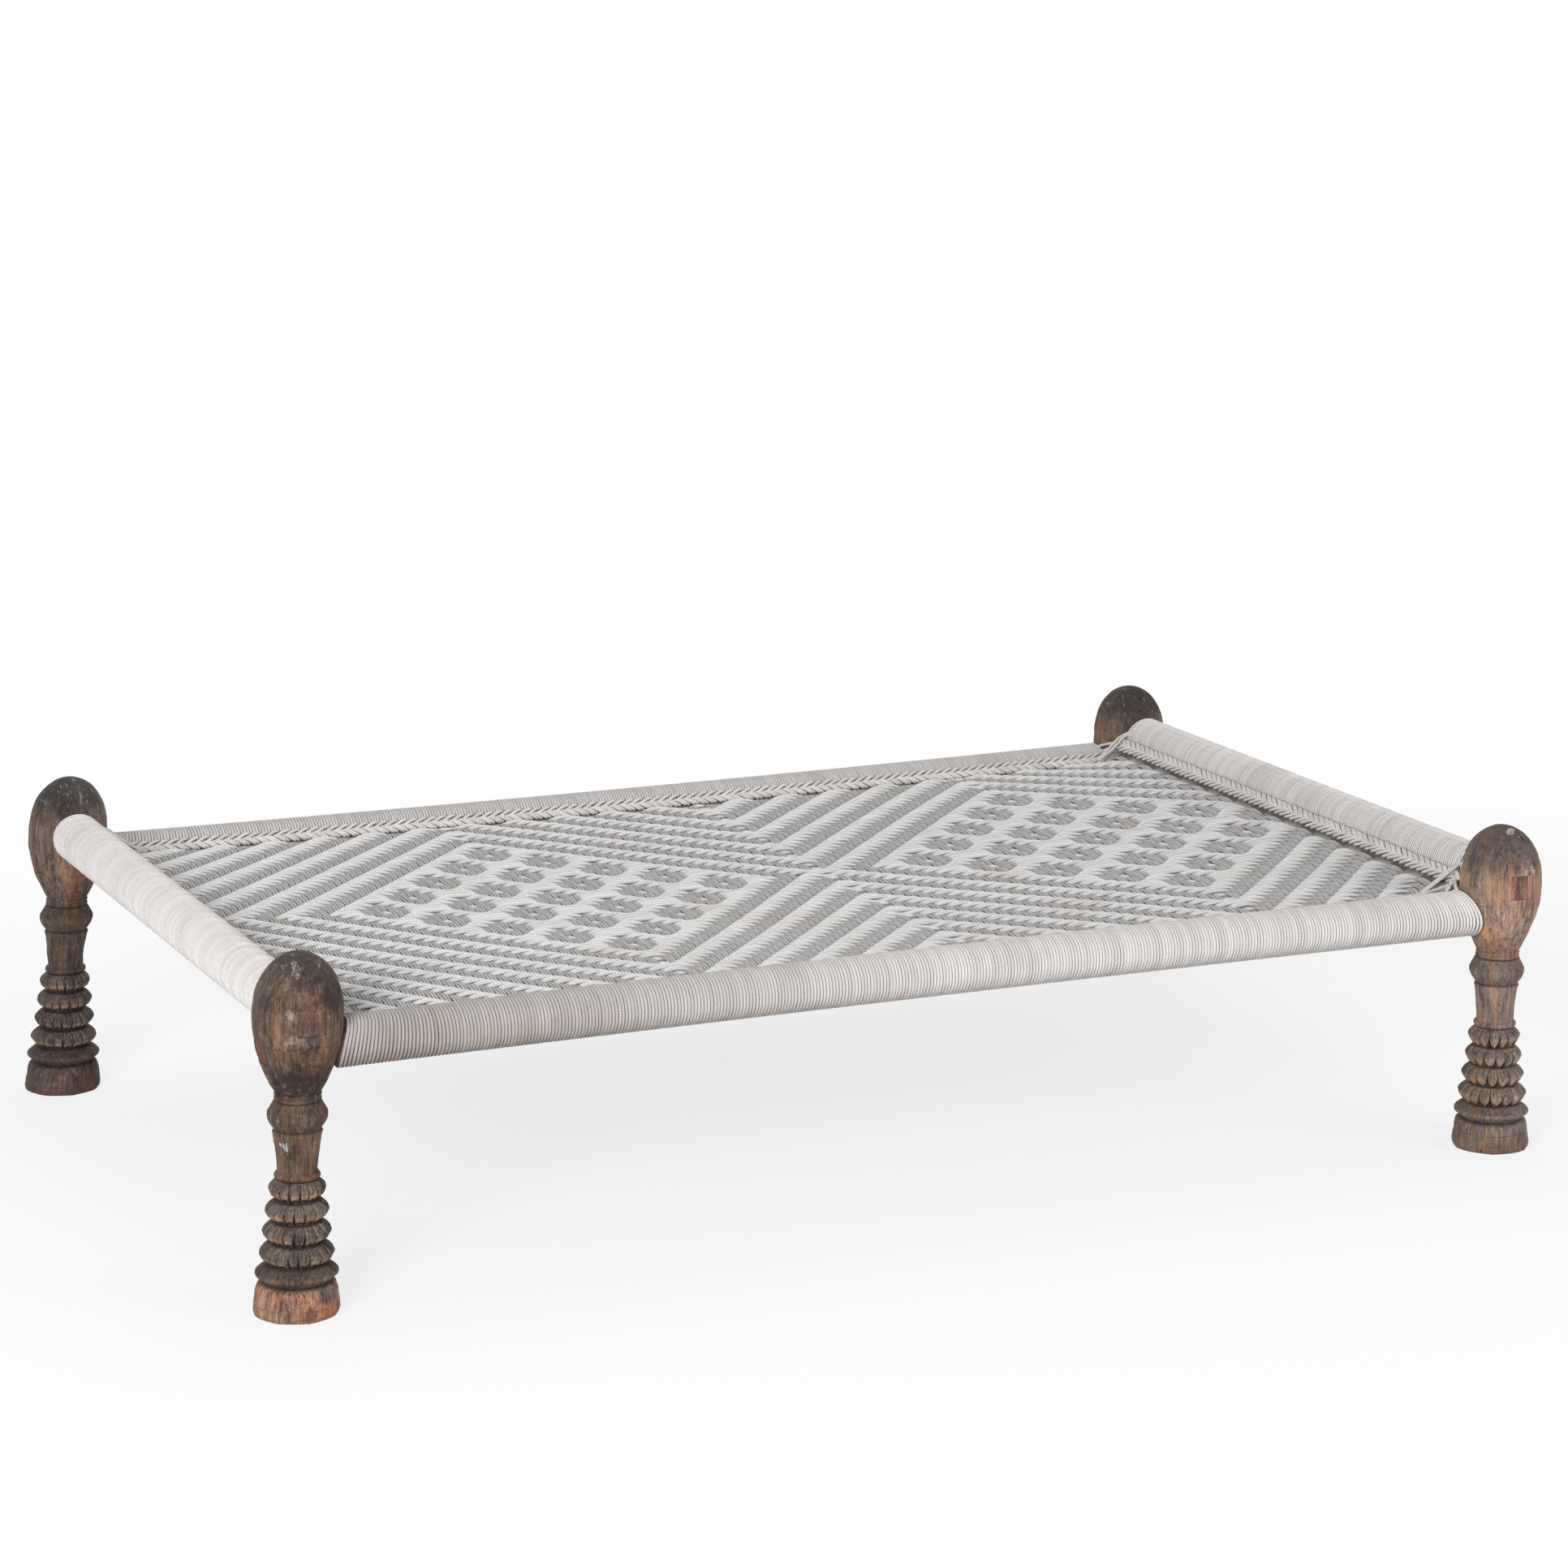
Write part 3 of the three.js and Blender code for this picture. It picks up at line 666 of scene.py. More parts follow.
@dataclass(frozen=True)
class AgedWood(Finish):
    """Old hand-turned hardwood: planky grain, patina, cracks, cut lines, worn edges and residue.

    Tones are rows of a height in millimetres and a screen colour, from the floor up.
    """

    name: str
    tones: tuple[tuple[int, int, int, int], ...] = ((0, 92, 66, 54), (450, 92, 66, 54))
    centre: tuple[float, float] = (0.0, 0.0)
    lean: float = 0.0
    contrast: float = 1.25
    ochre: Colour = srgb(255, 236, 198)
    rose: Colour = srgb(255, 226, 216)
    grey: Colour = srgb(108, 98, 93)
    petal_face: Colour = srgb(164, 132, 106)
    patina: Colour = srgb(36, 31, 31)
    patina_height: float = 0.425
    patina_blur: float = 0.03
    patina_strength: float = 0.75
    scratch: Colour = srgb(142, 130, 120)
    patches: tuple[Patch, ...] = ()
    rings: tuple[float, ...] = ()
    chisel: tuple[float, float] = (900.0, 950.0)
    petal_ribs: float = 54.0
    foot_cuts: float = 28.0
    seed: float = 0.0

    @staticmethod
    def radial_cuts(b: NodeBench, angle: Field, count: float, wobble: Field, width: float) -> Field:
        """Makes thin cuts that run away from the leg's axis.

        Args:
            b: The bench.
            angle: The angle round the axis.
            count: How many cuts go round.
            wobble: What shifts them.
            width: Their share of the spacing.

        Returns:
            A share that is 1 in a cut.
        """
        return b.remap(abs(b.math("SINE", angle * (count / 2.0) + wobble)), width, 0.0)

    @staticmethod
    def disc_share(b: NodeBench, height: Field) -> tuple[Field, Field]:
        """Finds how high on its own lotus disc a point lies, and whether it is on one at all."""
        disc = b.math("FRACT", (height - 62 * MM) / (26.75 * MM))
        return disc, b.window(height, 62.5 * MM, 168 * MM, 0.5 * MM)

    def cut_lines(self, b: NodeBench, angle: Field, height: Field, blotches: Field, torn: Field) -> Field:
        """Makes the cuts of the carver's knife and the turner's scribe.

        Args:
            b: The bench.
            angle: The angle round the leg's axis.
            height: The height above the floor.
            blotches: Coarse noise, which bends and breaks the cuts.
            torn: Fine noise, which breaks them.

        Returns:
            A share that is 1 in a cut.
        """
        wobble, light = (blotches - 0.5) * 5.0, (blotches - 0.5) * 2.2
        disc, on_discs = self.disc_share(b, height)
        ribs = b.window(disc, 0.60, 0.93, 0.04) * on_discs
        cuts = self.radial_cuts(b, angle, self.petal_ribs, light, 0.42) * ribs
        for low, high, count, width in (
            (53.5, 60.5, 96.0, 0.5),
            (42.5, 50.0, 78.0, 0.4),
            (251.0, 263.0, 66.0, 0.4),
            (234.0, 245.0, 66.0, 0.4),
            (*self.chisel, 84.0, 0.42),
        ):
            strip = b.window(height, low * MM, high * MM, 1.2 * MM)
            row = self.radial_cuts(b, angle, count, light, width) * strip
            cuts = b.math("MAXIMUM", cuts, row * b.remap(torn, 0.34, 0.6, 0.35, 1.0))
        foot = b.window(height, 19 * MM, 36 * MM, 3 * MM) * b.remap(torn, 0.36, 0.5, 0.2, 1.0)
        cuts = b.math("MAXIMUM", cuts, foot * self.radial_cuts(b, angle, self.foot_cuts, wobble, 0.16))
        for ring in self.rings:
            off = abs(height + (blotches * (7 * MM) + -3.5 * MM) - ring * MM)
            line = b.remap(off, 0.7 * MM, 0.1 * MM) * b.remap(torn, 0.42, 0.52, 0.0, 0.8)
            cuts = b.math("MAXIMUM", cuts, line * b.remap(blotches, 0.42, 0.54))
        return cuts

    def patched(self, b: NodeBench, colour: Field, place: Field, torn: Field) -> Field:
        """Lays the ragged patches of residue, paint and scorch over a colour.

        Args:
            b: The bench.
            colour: The wood's colour.
            place: Coordinates from the leg's axis.
            torn: Noise that tears the patches' edges.

        Returns:
            The patched colour.
        """
        for patch in self.patches:
            reach = tuple(size * MM for size in patch.reach)
            ragged = torn * (2.0 * patch.raggedness) + -patch.raggedness
            away = b.length((place - patch.place()) / reach) + ragged
            share = b.remap(away, 1.05, 0.5, 0.0, patch.strength)
            colour = b.mix(share, colour, patch.colour)
        return colour

    def material(self) -> bpy.types.Material:
        """Builds the wood's material.

        Returns:
            The material. It reads the attribute carve, 1 in the bottom of a cut.
        """
        material, b, shader = self.bench(0.6, 0.34)
        carve = b.attribute("carve")
        x, y, height = b.split(b.make("ShaderNodeTexCoord", output="Object"))
        x = x - (height * (-self.lean / PLAN.splay_pivot) + (self.lean + self.centre[0]))
        y = y - self.centre[1]
        place = b.combine(x, y, height)
        angle = b.math("ARCTAN2", y, x)
        shifted = place + (self.seed, self.seed * 0.7, self.seed * 1.3)

        streaks = b.noise(shifted * (1.0, 1.0, 0.07), 240.0, 5.0, 0.62)
        planks = b.noise(shifted * (1.0, 1.0, 0.16), 46.0, 3.0, 0.55)
        blotches = b.noise(shifted * (1.0, 1.0, 0.6), 32.0, 4.0, 0.62)
        broad = b.noise(shifted, 13.0, 3.0, 0.55)
        torn = b.noise(shifted, 90.0, 5.0, 0.68)
        speckle = b.noise(shifted, 430.0, 4.0, 0.7)
        seams = b.noise(shifted * (1.0, 1.0, 0.045), 210.0, 2.0, 0.5)
        crack = b.remap(seams, 0.655, 0.7) * b.remap(planks, 0.4, 0.5)
        cuts = b.math("MAXIMUM", self.cut_lines(b, angle, height, blotches, torn), crack * 0.9)

        # The turned forms each keep their own tone, and grain, wear and dirt vary it
        stops = [(at * MM / PLAN.leg_height, srgb(*tone)) for at, *tone in self.tones]
        colour = b.ramp(height / PLAN.leg_height, stops)
        colour = b.mix(b.remap(planks, 0.5, 0.6, 0.0, 0.9), colour, self.ochre, "MULTIPLY")
        colour = b.mix(b.remap(broad, 0.5, 0.62, 0.0, 0.8), colour, self.rose, "MULTIPLY")
        colour = b.mix(b.remap(torn, 0.52, 0.66, 0.0, 0.5), colour, self.grey)
        disc, on_discs = self.disc_share(b, height)
        face = b.window(disc, 0.16, 0.5, 0.05) * on_discs * b.remap(blotches, 0.35, 0.6, 0.2, 0.5)
        colour = b.mix(face, colour, self.petal_face)
        colour = b.mix(b.window(disc, 0.58, 0.96, 0.04) * on_discs * 0.45, colour, self.grey)
        top = height + (broad * 0.11 + -0.055) + (blotches * 0.06 + -0.03)
        low, high = self.patina_height - self.patina_blur, self.patina_height + self.patina_blur
        aged = b.remap(top, low, high, 0.0, self.patina_strength)
        colour = b.mix(aged, colour, self.patina)
        scuffs = b.noise(shifted * (1.0, 0.3, 0.25), 260.0, 2.0, 0.5)
        colour = b.mix(b.remap(scuffs, 0.62, 0.7) * aged, colour, self.scratch)
        colour = self.patched(b, colour, place, torn)

        shade = streaks * (2.6 * self.contrast) + (1.0 - 3.7 * self.contrast)
        for grain, weight in ((planks, 1.7), (blotches, 1.6), (speckle, 1.5)):
            shade = grain * (weight * self.contrast) + shade
        colour = b.shaded(colour, b.remap(shade, 0.25, 1.8, 0.25, 1.8))
        colour = b.mix(b.remap(carve, 0.1, 0.9, 0.0, 0.85), colour, self.patina)
        b.feed(shader.inputs["Base Color"], b.mix(cuts * 0.78, colour, self.patina))
        b.feed(shader.inputs["Roughness"], b.remap(broad, 0.3, 0.7, 0.6, 0.84))
        relief = cuts * -0.8 + (torn * 0.5 + (streaks * 0.7 + speckle * 0.4))
        bump = b.make("ShaderNodeBump", {"Strength": 0.9, "Distance": 1.0 * MM, "Height": relief})
        b.feed(shader.inputs["Normal"], bump)
        return material


@dataclass(frozen=True)
class StudioFloor(Finish):
    """A pale floor that turns to plain white away from the bed and keeps the bed's shadow."""

    name: str = "studio_floor"
    pale: Colour = srgb(246, 246, 246)
    near: float = 1.0
    far: float = 2.2
    shadow_share: float = 0.22

    def material(self) -> bpy.types.Material:
        """Builds the floor's material.

        Returns:
            The material. Its underside lets the camera through.
        """
        material, b, shader = self.bench(0.9, 0.1)
        b.feed(shader.inputs["Base Color"], (*self.pale, 1.0))
        x, y, _ = b.split(b.make("ShaderNodeTexCoord", output="Object"))
        away = b.length(b.combine(x * 0.72, y))
        share = b.remap(away, self.near, self.far, 1.0 - self.shadow_share, 1.0) * b.seen()
        white = b.make("ShaderNodeEmission", {"Color": (1.0, 1.0, 1.0, 1.0), "Strength": 1.0})
        mixed = b.make("ShaderNodeMixShader", {0: share, 1: Field(b, shader.outputs[0]), 2: white})
        under = b.make("ShaderNodeNewGeometry", output="Backfacing")
        clear = b.make("ShaderNodeBsdfTransparent")
        both = b.make("ShaderNodeMixShader", {0: under, 1: mixed, 2: clear})
        b.feed(b.tree.nodes["Material Output"].inputs["Surface"], both)
        return material


# Legs


class Corner(Enum):
    """The four legs: name, and the signs of outwards along and across the bed."""

    FRONT_LEFT = ("front_left", -1, -1)
    FRONT_RIGHT = ("front_right", 1, -1)
    REAR_LEFT = ("rear_left", -1, 1)
    REAR_RIGHT = ("rear_right", 1, 1)

    @property
    def label(self) -> str:
        """The corner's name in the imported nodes."""
        return self.value[0]

    @property
    def outwards(self) -> tuple[int, int]:
        """Signs of the outward directions along X and Y."""
        return self.value[1:]

    @property
    def axis(self) -> tuple[float, float]:
        """Where the leg's axis stands at the rails."""
        along, across = self.outwards
        return PLAN.middle_x + along * PLAN.half_long, across * PLAN.half_wide


@dataclass
class TurnedLeg:
    """One leg, turned and carved from the floor up: foot, band, lotus discs, cup, bulge, head.

    Sizes without a unit are in millimetres, and the tables are shares of a stage's height and radius.
    """

    corner: Corner
    finish: AgedWood
    splay: float
    seed: int
    petals: tuple[int, ...] = (19, 18, 17, 16)
    pointed: bool = False
    foot_sides: int = 8
    head_sides: int = 11
    foot_height: float = 40.0
    foot_radius: float = 55.8
    band_height: float = 22.0
    band_radius: float = 51.6
    lotus_height: float = 26.75
    lotus_low: float = 47.0
    lotus_top: float = 35.8
    lotus_core: float = 0.69
    collar_height: float = 9.0
    collar_radius: float = 29.4
    cup_height: float = 53.0
    cup_low: float = 25.4
    cup_top: float = 30.6
    bulge_height: float = 36.0
    bulge_radius: float = 37.8
    neck_height: float = 10.0
    neck_radius: float = 30.2
    tip_height: float = 18.0
    least_radius: float = 0.4
    around: int = 288

    OUTLINES = {
        "foot": (
            (0.0, 0.955), (0.05, 0.98), (0.14, 1.0), (0.38, 0.985),
            (0.72, 0.935), (0.9, 0.875), (1.0, 0.79),
        ),
        "band": (
            (0.0, 0.79), (0.08, 0.83), (0.40, 0.985), (0.5, 1.0),
            (0.62, 0.975), (0.95, 0.79), (1.0, 0.74),
        ),
        "lotus": (
            (0.0, 0.8), (0.06, 0.825), (0.3, 0.93), (0.46, 0.985), (0.55, 1.0),
            (0.64, 0.985), (0.76, 0.925), (0.88, 0.84), (0.96, 0.765), (1.0, 0.735),
        ),
        "collar": ((0.0, 0.82), (0.18, 0.965), (0.5, 1.0), (0.82, 0.965), (1.0, 0.875)),
        "cup": ((0.0, 0.0), (0.25, 0.17), (0.6, 0.5), (0.88, 0.88), (0.9, 1.1), (0.97, 1.1), (1.0, 0.8)),
        "bulge": (
            (0.0, 0.76), (0.06, 0.8), (0.26, 0.93), (0.42, 0.99),
            (0.52, 1.0), (0.6, 0.985), (0.9, 0.83), (1.0, 0.79),
        ),
        "neck": (
            (0.0, 0.93), (0.12, 0.99), (0.28, 1.0), (0.44, 0.955),
            (0.54, 0.955), (0.7, 1.0), (0.86, 0.985), (1.0, 0.95),
        ),
    }
    RING_STEPS = {
        "foot": 2.1, "band": 1.5, "lotus": 1.08, "collar": 1.3, "cup": 3.2, "bulge": 1.8, "neck": 0.85,
    }
    DENT_WAVES = (
        (2, 90.0, 0.5), (3, 55.0, 0.35), (5, 38.0, 0.28), (9, 23.0, 0.2), (15, 14.0, 0.14), (23, 9.0, 0.1),
    )

    def stages(self) -> list[tuple[float, float, str, float]]:
        """Lists the turned stages.

        Returns:
            For each stage its lower height, its height, its kind and its radius.
        """
        radii = [self.lotus_low + (self.lotus_top - self.lotus_low) * disc / 3 for disc in range(4)]
        low, listed = 0.0, []
        for tall, kind, radius in (
            (self.foot_height, "foot", self.foot_radius),
            (self.band_height, "band", self.band_radius),
            *((self.lotus_height, "lotus", radius) for radius in radii),
            (self.collar_height, "collar", self.collar_radius),
            (self.cup_height, "cup", self.cup_low),
            (self.bulge_height, "bulge", self.bulge_radius),
            (self.neck_height, "neck", self.neck_radius),
        ):
            listed.append((low, tall, kind, radius))
            low += tall
        return listed

    def relief(self, angle: np.ndarray, height: np.ndarray) -> tuple[np.ndarray, np.ndarray]:
        """Radius and depth of carving all over the leg.

        Args:
            angle: Angles round the leg's axis.
            height: Heights above the floor in millimetres.

        Returns:
            The radii in millimetres, and how deep in a cut each point lies, from 0 to 1.
        """
        rng = np.random.default_rng(self.seed)
        petals = iter(self.petals)
        radius = np.zeros_like(height)
        depth = np.zeros_like(height)
        for low, tall, kind, reach in self.stages():
            at = (height >= low) & (height < low + tall)
            share, turn = (height[at] - low) / tall, angle[at]
            outline = np.interp(share, *np.array(self.OUTLINES[kind]).T)
            if kind == "lotus":
                radius[at], depth[at] = self.lotus(turn, share, reach, outline, next(petals), rng)
                continue
            radius[at] = reach * outline
            seams = smooth_step(0.1, 0.0, share) + smooth_step(0.93, 1.0, share)
            depth[at] = np.clip(0.85 * seams, 0.0, 1.0)
            if kind == "cup":
                radius[at] = self.cup_low + (self.cup_top - self.cup_low) * outline
                depth[at] *= share > 0.5
            if kind == "foot":
                cut, depth[at] = self.hewn_foot(turn, share, rng)
                radius[at] -= cut
        head = height >= PLAN.neck_top / MM
        radius[head] = PLAN.head_radius_at(height[head] * MM) / MM
        radius[head] -= 0.4 * self.flats(angle[head], self.head_sides) * radius[head] + 0.1
        return radius + self.dents(angle, height, rng), depth

    @staticmethod
    def flats(turn: np.ndarray, sides: int) -> np.ndarray:
        """How far a many-sided outline falls inside its circle, as a share of the radius."""
        away = turn % (TAU / sides) - math.pi / sides
        return 1.0 - math.cos(math.pi / sides) / np.cos(away)

    def lotus(
        self,
        turn: np.ndarray,
        share: np.ndarray,
        reach: float,
        outline: np.ndarray,
        petals: int,
        rng: np.random.Generator,
    ) -> tuple[np.ndarray, np.ndarray]:
        """One lotus disc: fluted above its rim, with a ring of cut petals below it.

        Args:
            turn: Angles of the points.
            share: Their heights as shares of the disc's.
            reach: The disc's widest radius.
            outline: The turned outline there, as shares of it.
            petals: How many petals.
            rng: The leg's own random numbers.

        Returns:
            Radii and depths in the cuts.
        """
        place = (turn + rng.uniform(0.0, TAU)) / TAU * petals
        petal = np.floor(place).astype(int) % petals
        wide = rng.uniform(-0.09, 0.09, petals + 1)
        wide[-1] = wide[0]
        deep = rng.uniform(0.75, 1.15, petals)[petal]
        inside = (place - np.floor(place) - wide[petal]) / (1.0 + wide[petal + 1] - wide[petal])
        off = np.clip(np.abs(2.0 * inside - 1.0), 0.0, 1.0)

        # Between two petals a groove widens from the rim down to a notch
        below = smooth_step(0.62, 0.12, share)
        groove = smooth_step(0.78 - 0.26 * below, 1.0, off)
        lower = smooth_step(0.68, 0.54, share)
        cut = (3.0 + 3.4 * below) * groove * lower * deep + 1.3 * lower * off**2
        upper = smooth_step(0.54, 0.66, share) * smooth_step(1.0, 0.9, share)
        flutes = 0.6 * np.abs(np.sin(inside * math.pi * 3.0))
        cut += upper * (2.8 * smooth_step(0.5, 1.0, off) * deep + flutes)
        radius = reach * outline - cut

        # A petal's lower end is a point, or an arch between two corners
        end = 0.04 + 0.36 * off**1.3 if self.pointed else 0.03 + 0.2 * (1.0 - off**2)
        under = smooth_step(end + 0.06, end - 0.03, share)
        radius += (np.minimum(self.lotus_core * reach, radius) - radius) * under
        dark = np.maximum(groove * (0.45 * upper + 0.9 * lower), 0.85 * under)
        return radius, np.clip(dark + 0.9 * smooth_step(0.93, 1.0, share), 0.0, 1.0)

    def hewn_foot(self, turn: np.ndarray, share: np.ndarray, rng: np.random.Generator) -> tuple:
        """The foot's flats, dents and notches.

        Args:
            turn: Angles of the points.
            share: Their heights as shares of the foot's.
            rng: The leg's own random numbers.

        Returns:
            Cut depths in millimetres and depths in the cuts.
        """
        start = rng.uniform(0.0, TAU)
        lower = smooth_step(1.0, 0.5, share)
        dents = 0.45 * (1.0 + np.sin(2.0 * turn + start) * np.cos(3.0 * turn - start)) * lower
        notch = np.clip(1.0 - np.abs(np.sin(turn * 5.5 + start * 3)) / 0.045, 0.0, 1.0)
        notch = notch * smooth_step(0.24, 0.08, share)
        cut = 0.32 * self.foot_radius * self.flats(turn, self.foot_sides) * lower + dents + 1.5 * notch
        return cut, np.clip(0.8 * notch + 0.85 * smooth_step(0.93, 1.0, share), 0.0, 1.0)

    def dents(self, angle: np.ndarray, height: np.ndarray, rng: np.random.Generator) -> np.ndarray:
        """The uneven surface of hand work, never outside the turned outline.

        Args:
            angle: Angles of the points.
            height: Their heights in millimetres.
            rng: The leg's own random numbers.

        Returns:
            Changes of the radius in millimetres.
        """
        phases = rng.uniform(0.0, TAU, 6)
        total = np.full_like(height, -0.75)
        for phase, (rounds, tall, size) in zip(phases, self.DENT_WAVES):
            total += size * np.sin(rounds * angle + phase) * np.cos(TAU * height / tall + 2.0 * phase)
        return np.minimum(total, 0.0)

    def surface_reach(self, along_x: bool, out: int, lateral: np.ndarray, height: np.ndarray) -> np.ndarray:
        """How far the head's surface lies from the leg's axis where a rail's tenon comes through.

        Args:
            along_x: Whether the rail runs along X.
            out: The outward sign.
            lateral: Places across the rail, from the leg's axis.
            height: Heights above the floor.

        Returns:
            The distances along the rail.
        """
        reach = np.full_like(height, PLAN.head_radius)
        for _ in range(4):
            x, y = (out * reach, lateral) if along_x else (lateral, out * reach)
            radius = self.relief(np.arctan2(y, x) % TAU, height / MM)[0] * MM
            reach = np.sqrt(np.maximum(radius**2 - lateral**2, 1e-9))
        return reach

    def axis_at(self, height: np.ndarray) -> np.ndarray:
        """Points of the leaning axis at heights above the floor."""
        x, y = self.corner.axis
        shift = self.corner.outwards[0] * self.splay * (1.0 - height / PLAN.splay_pivot)
        return np.stack([x + shift, np.full_like(height, y), height], -1)

    def rows(self) -> np.ndarray:
        """Lists the heights of the mesh's rings, close together where the carving is fine.

        Returns:
            The heights in millimetres.
        """
        rows = []
        for low, tall, kind, _ in self.stages():
            count = math.ceil(tall / self.RING_STEPS[kind])
            rows.append(low + tall * np.arange(count) / count)
        tip = PLAN.leg_height / MM - self.tip_height
        dome = np.sin(np.linspace(0.0, 1.0, 15)[:-1] * math.pi / 2)
        return np.concatenate([*rows, np.arange(PLAN.neck_top / MM, tip, 2.6), tip + self.tip_height * dome])

    def build(self) -> bpy.types.Object:
        """Makes the leg's mesh with its two crossing mortises.

        Returns:
            The finished leg.
        """
        heights = self.rows()
        tall, turn = np.meshgrid(heights, np.arange(self.around) / self.around * TAU, indexing="ij")
        radius, _ = self.relief(turn.ravel(), tall.ravel())
        radius = np.maximum(radius, self.least_radius).reshape(tall.shape)
        spread = np.stack([radius * MM * np.cos(turn), radius * MM * np.sin(turn), 0.0 * tall], -1)
        points = (self.axis_at(tall * MM) + spread).reshape(-1, 3)
        ends = self.axis_at(np.array([0.0, PLAN.leg_height]))
        name = f"carved_leg_{self.corner.label}"
        uncut = shape(name, np.concatenate([points, ends]), [], tube_faces(len(heights), self.around))
        leg = self.cut_mortises(uncut, name)
        self.mark_carving(leg)
        leg.data.materials.clear()
        leg.data.materials.append(self.finish.material())
        return leg

    def cut_mortises(self, leg: bpy.types.Object, name: str) -> bpy.types.Object:
        """Cuts both mortises through the head.

        Args:
            leg: The uncut leg.
            name: Name of the result.

        Returns:
            The cut leg.
        """
        reach = PLAN.head_radius + 9 * MM
        tenons = (PLAN.side_tenon, PLAN.end_tenon)
        side, end = ([size / 2 + PLAN.fit_gap for size in tenon] for tenon in tenons)
        signs = np.array([(a, b, c) for a in (-1, 1) for b in (-1, 1) for c in (-1, 1)])
        sides = [(0, 1, 3, 2), (4, 6, 7, 5), (0, 4, 5, 1), (2, 3, 7, 6), (0, 2, 6, 4), (1, 5, 7, 3)]
        cutters = []
        for height, half in (
            (PLAN.side_rail_height, (reach, *side)),
            (PLAN.end_rail_height, (end[0], reach, end[1])),
        ):
            cutter = shape("mortise", np.array([*self.corner.axis, height]) + signs * half, [], sides)
            cut = leg.modifiers.new("mortise", "BOOLEAN")
            cut.operation = "DIFFERENCE"
            cut.solver = "MANIFOLD"
            cut.object = cutter
            cutters.append(cutter)
        made = plain_copy(leg, name)
        for cutter in cutters:
            bpy.data.objects.remove(cutter)
        return made

    def mark_carving(self, leg: bpy.types.Object) -> None:
        """Stores how deep in a cut each point lies, and shades the leg smooth.

        Args:
            leg: The cut leg.
        """
        mesh = leg.data
        points = np.zeros(len(mesh.vertices) * 3, np.float32)
        mesh.vertices.foreach_get("co", points)
        points = points.reshape(-1, 3).astype(float)
        across = points - self.axis_at(points[:, 2])
        angle = np.arctan2(across[:, 1], across[:, 0]) % TAU
        radius, depth = self.relief(angle, points[:, 2] / MM)
        wall = np.maximum(radius, self.least_radius) * MM - 1.5 * MM
        inside = (np.hypot(across[:, 0], across[:, 1]) < wall) & (points[:, 2] > PLAN.neck_top)
        depth = np.where(inside, 0.6, depth).astype(np.float32)
        mesh.attributes.new("carve", "FLOAT", "POINT").data.foreach_set("value", depth)
        smooth_shaded(mesh, 62.0)


# Rails


class RailSide(Enum):
    """The four rails: node name, whether it runs along X, and the side of the bed."""

    FRONT = ("side_rail_front", True, -1)
    REAR = ("side_rail_rear", True, 1)
    LEFT = ("end_rail_left", False, -1)
    RIGHT = ("end_rail_right", False, 1)

    def __init__(self, node: str, along_x: bool, sign: int) -> None:
        """Names the three values."""
        self.node, self.along_x, self.sign = node, along_x, sign


@dataclass(frozen=True)
class EndTurns:
    """How a winding's last turns lie against one leg."""

    side: str
    turns: int = 2
    gap: float = 0.6 * MM


@dataclass(frozen=True)
class TwineRow:
    """One row of a twined edge: how far a stitch runs, its strands and their thickness."""

    run: float
    strands: int
    cord: float


@dataclass(frozen=True)
class EdgeLay:
    """How a twined edge lies on its rail: the angles where it starts and by which it falls, and its rows.

    The stitches point towards lower numbers along the rail if the direction is -1.
    """

    seat: float
    slope: float
    outer: TwineRow
    inner: TwineRow
    direction: int = -1
    stitch_pitch: float = 14.6 * MM
    row_width: float = 9.8 * MM
    crest: float = 3.1 * MM
    strand_step: float = 5.7 * MM
    half_depth: float = 8.0 * MM
    tail_depth: float = 3.2 * MM

    def down(self) -> np.ndarray:
        """The unit vector in which it falls: inwards, then up."""
        return np.array([math.cos(self.slope), -math.sin(self.slope)])

    def top(self, pole_radius: float) -> np.ndarray:
        """Where it starts, from the rail's axis: inwards, then up."""
        reach = pole_radius + PLAN.cord + PLAN.fit_gap + PLAN.edge_seat
        return np.array([math.cos(self.seat), math.sin(self.seat)]) * reach


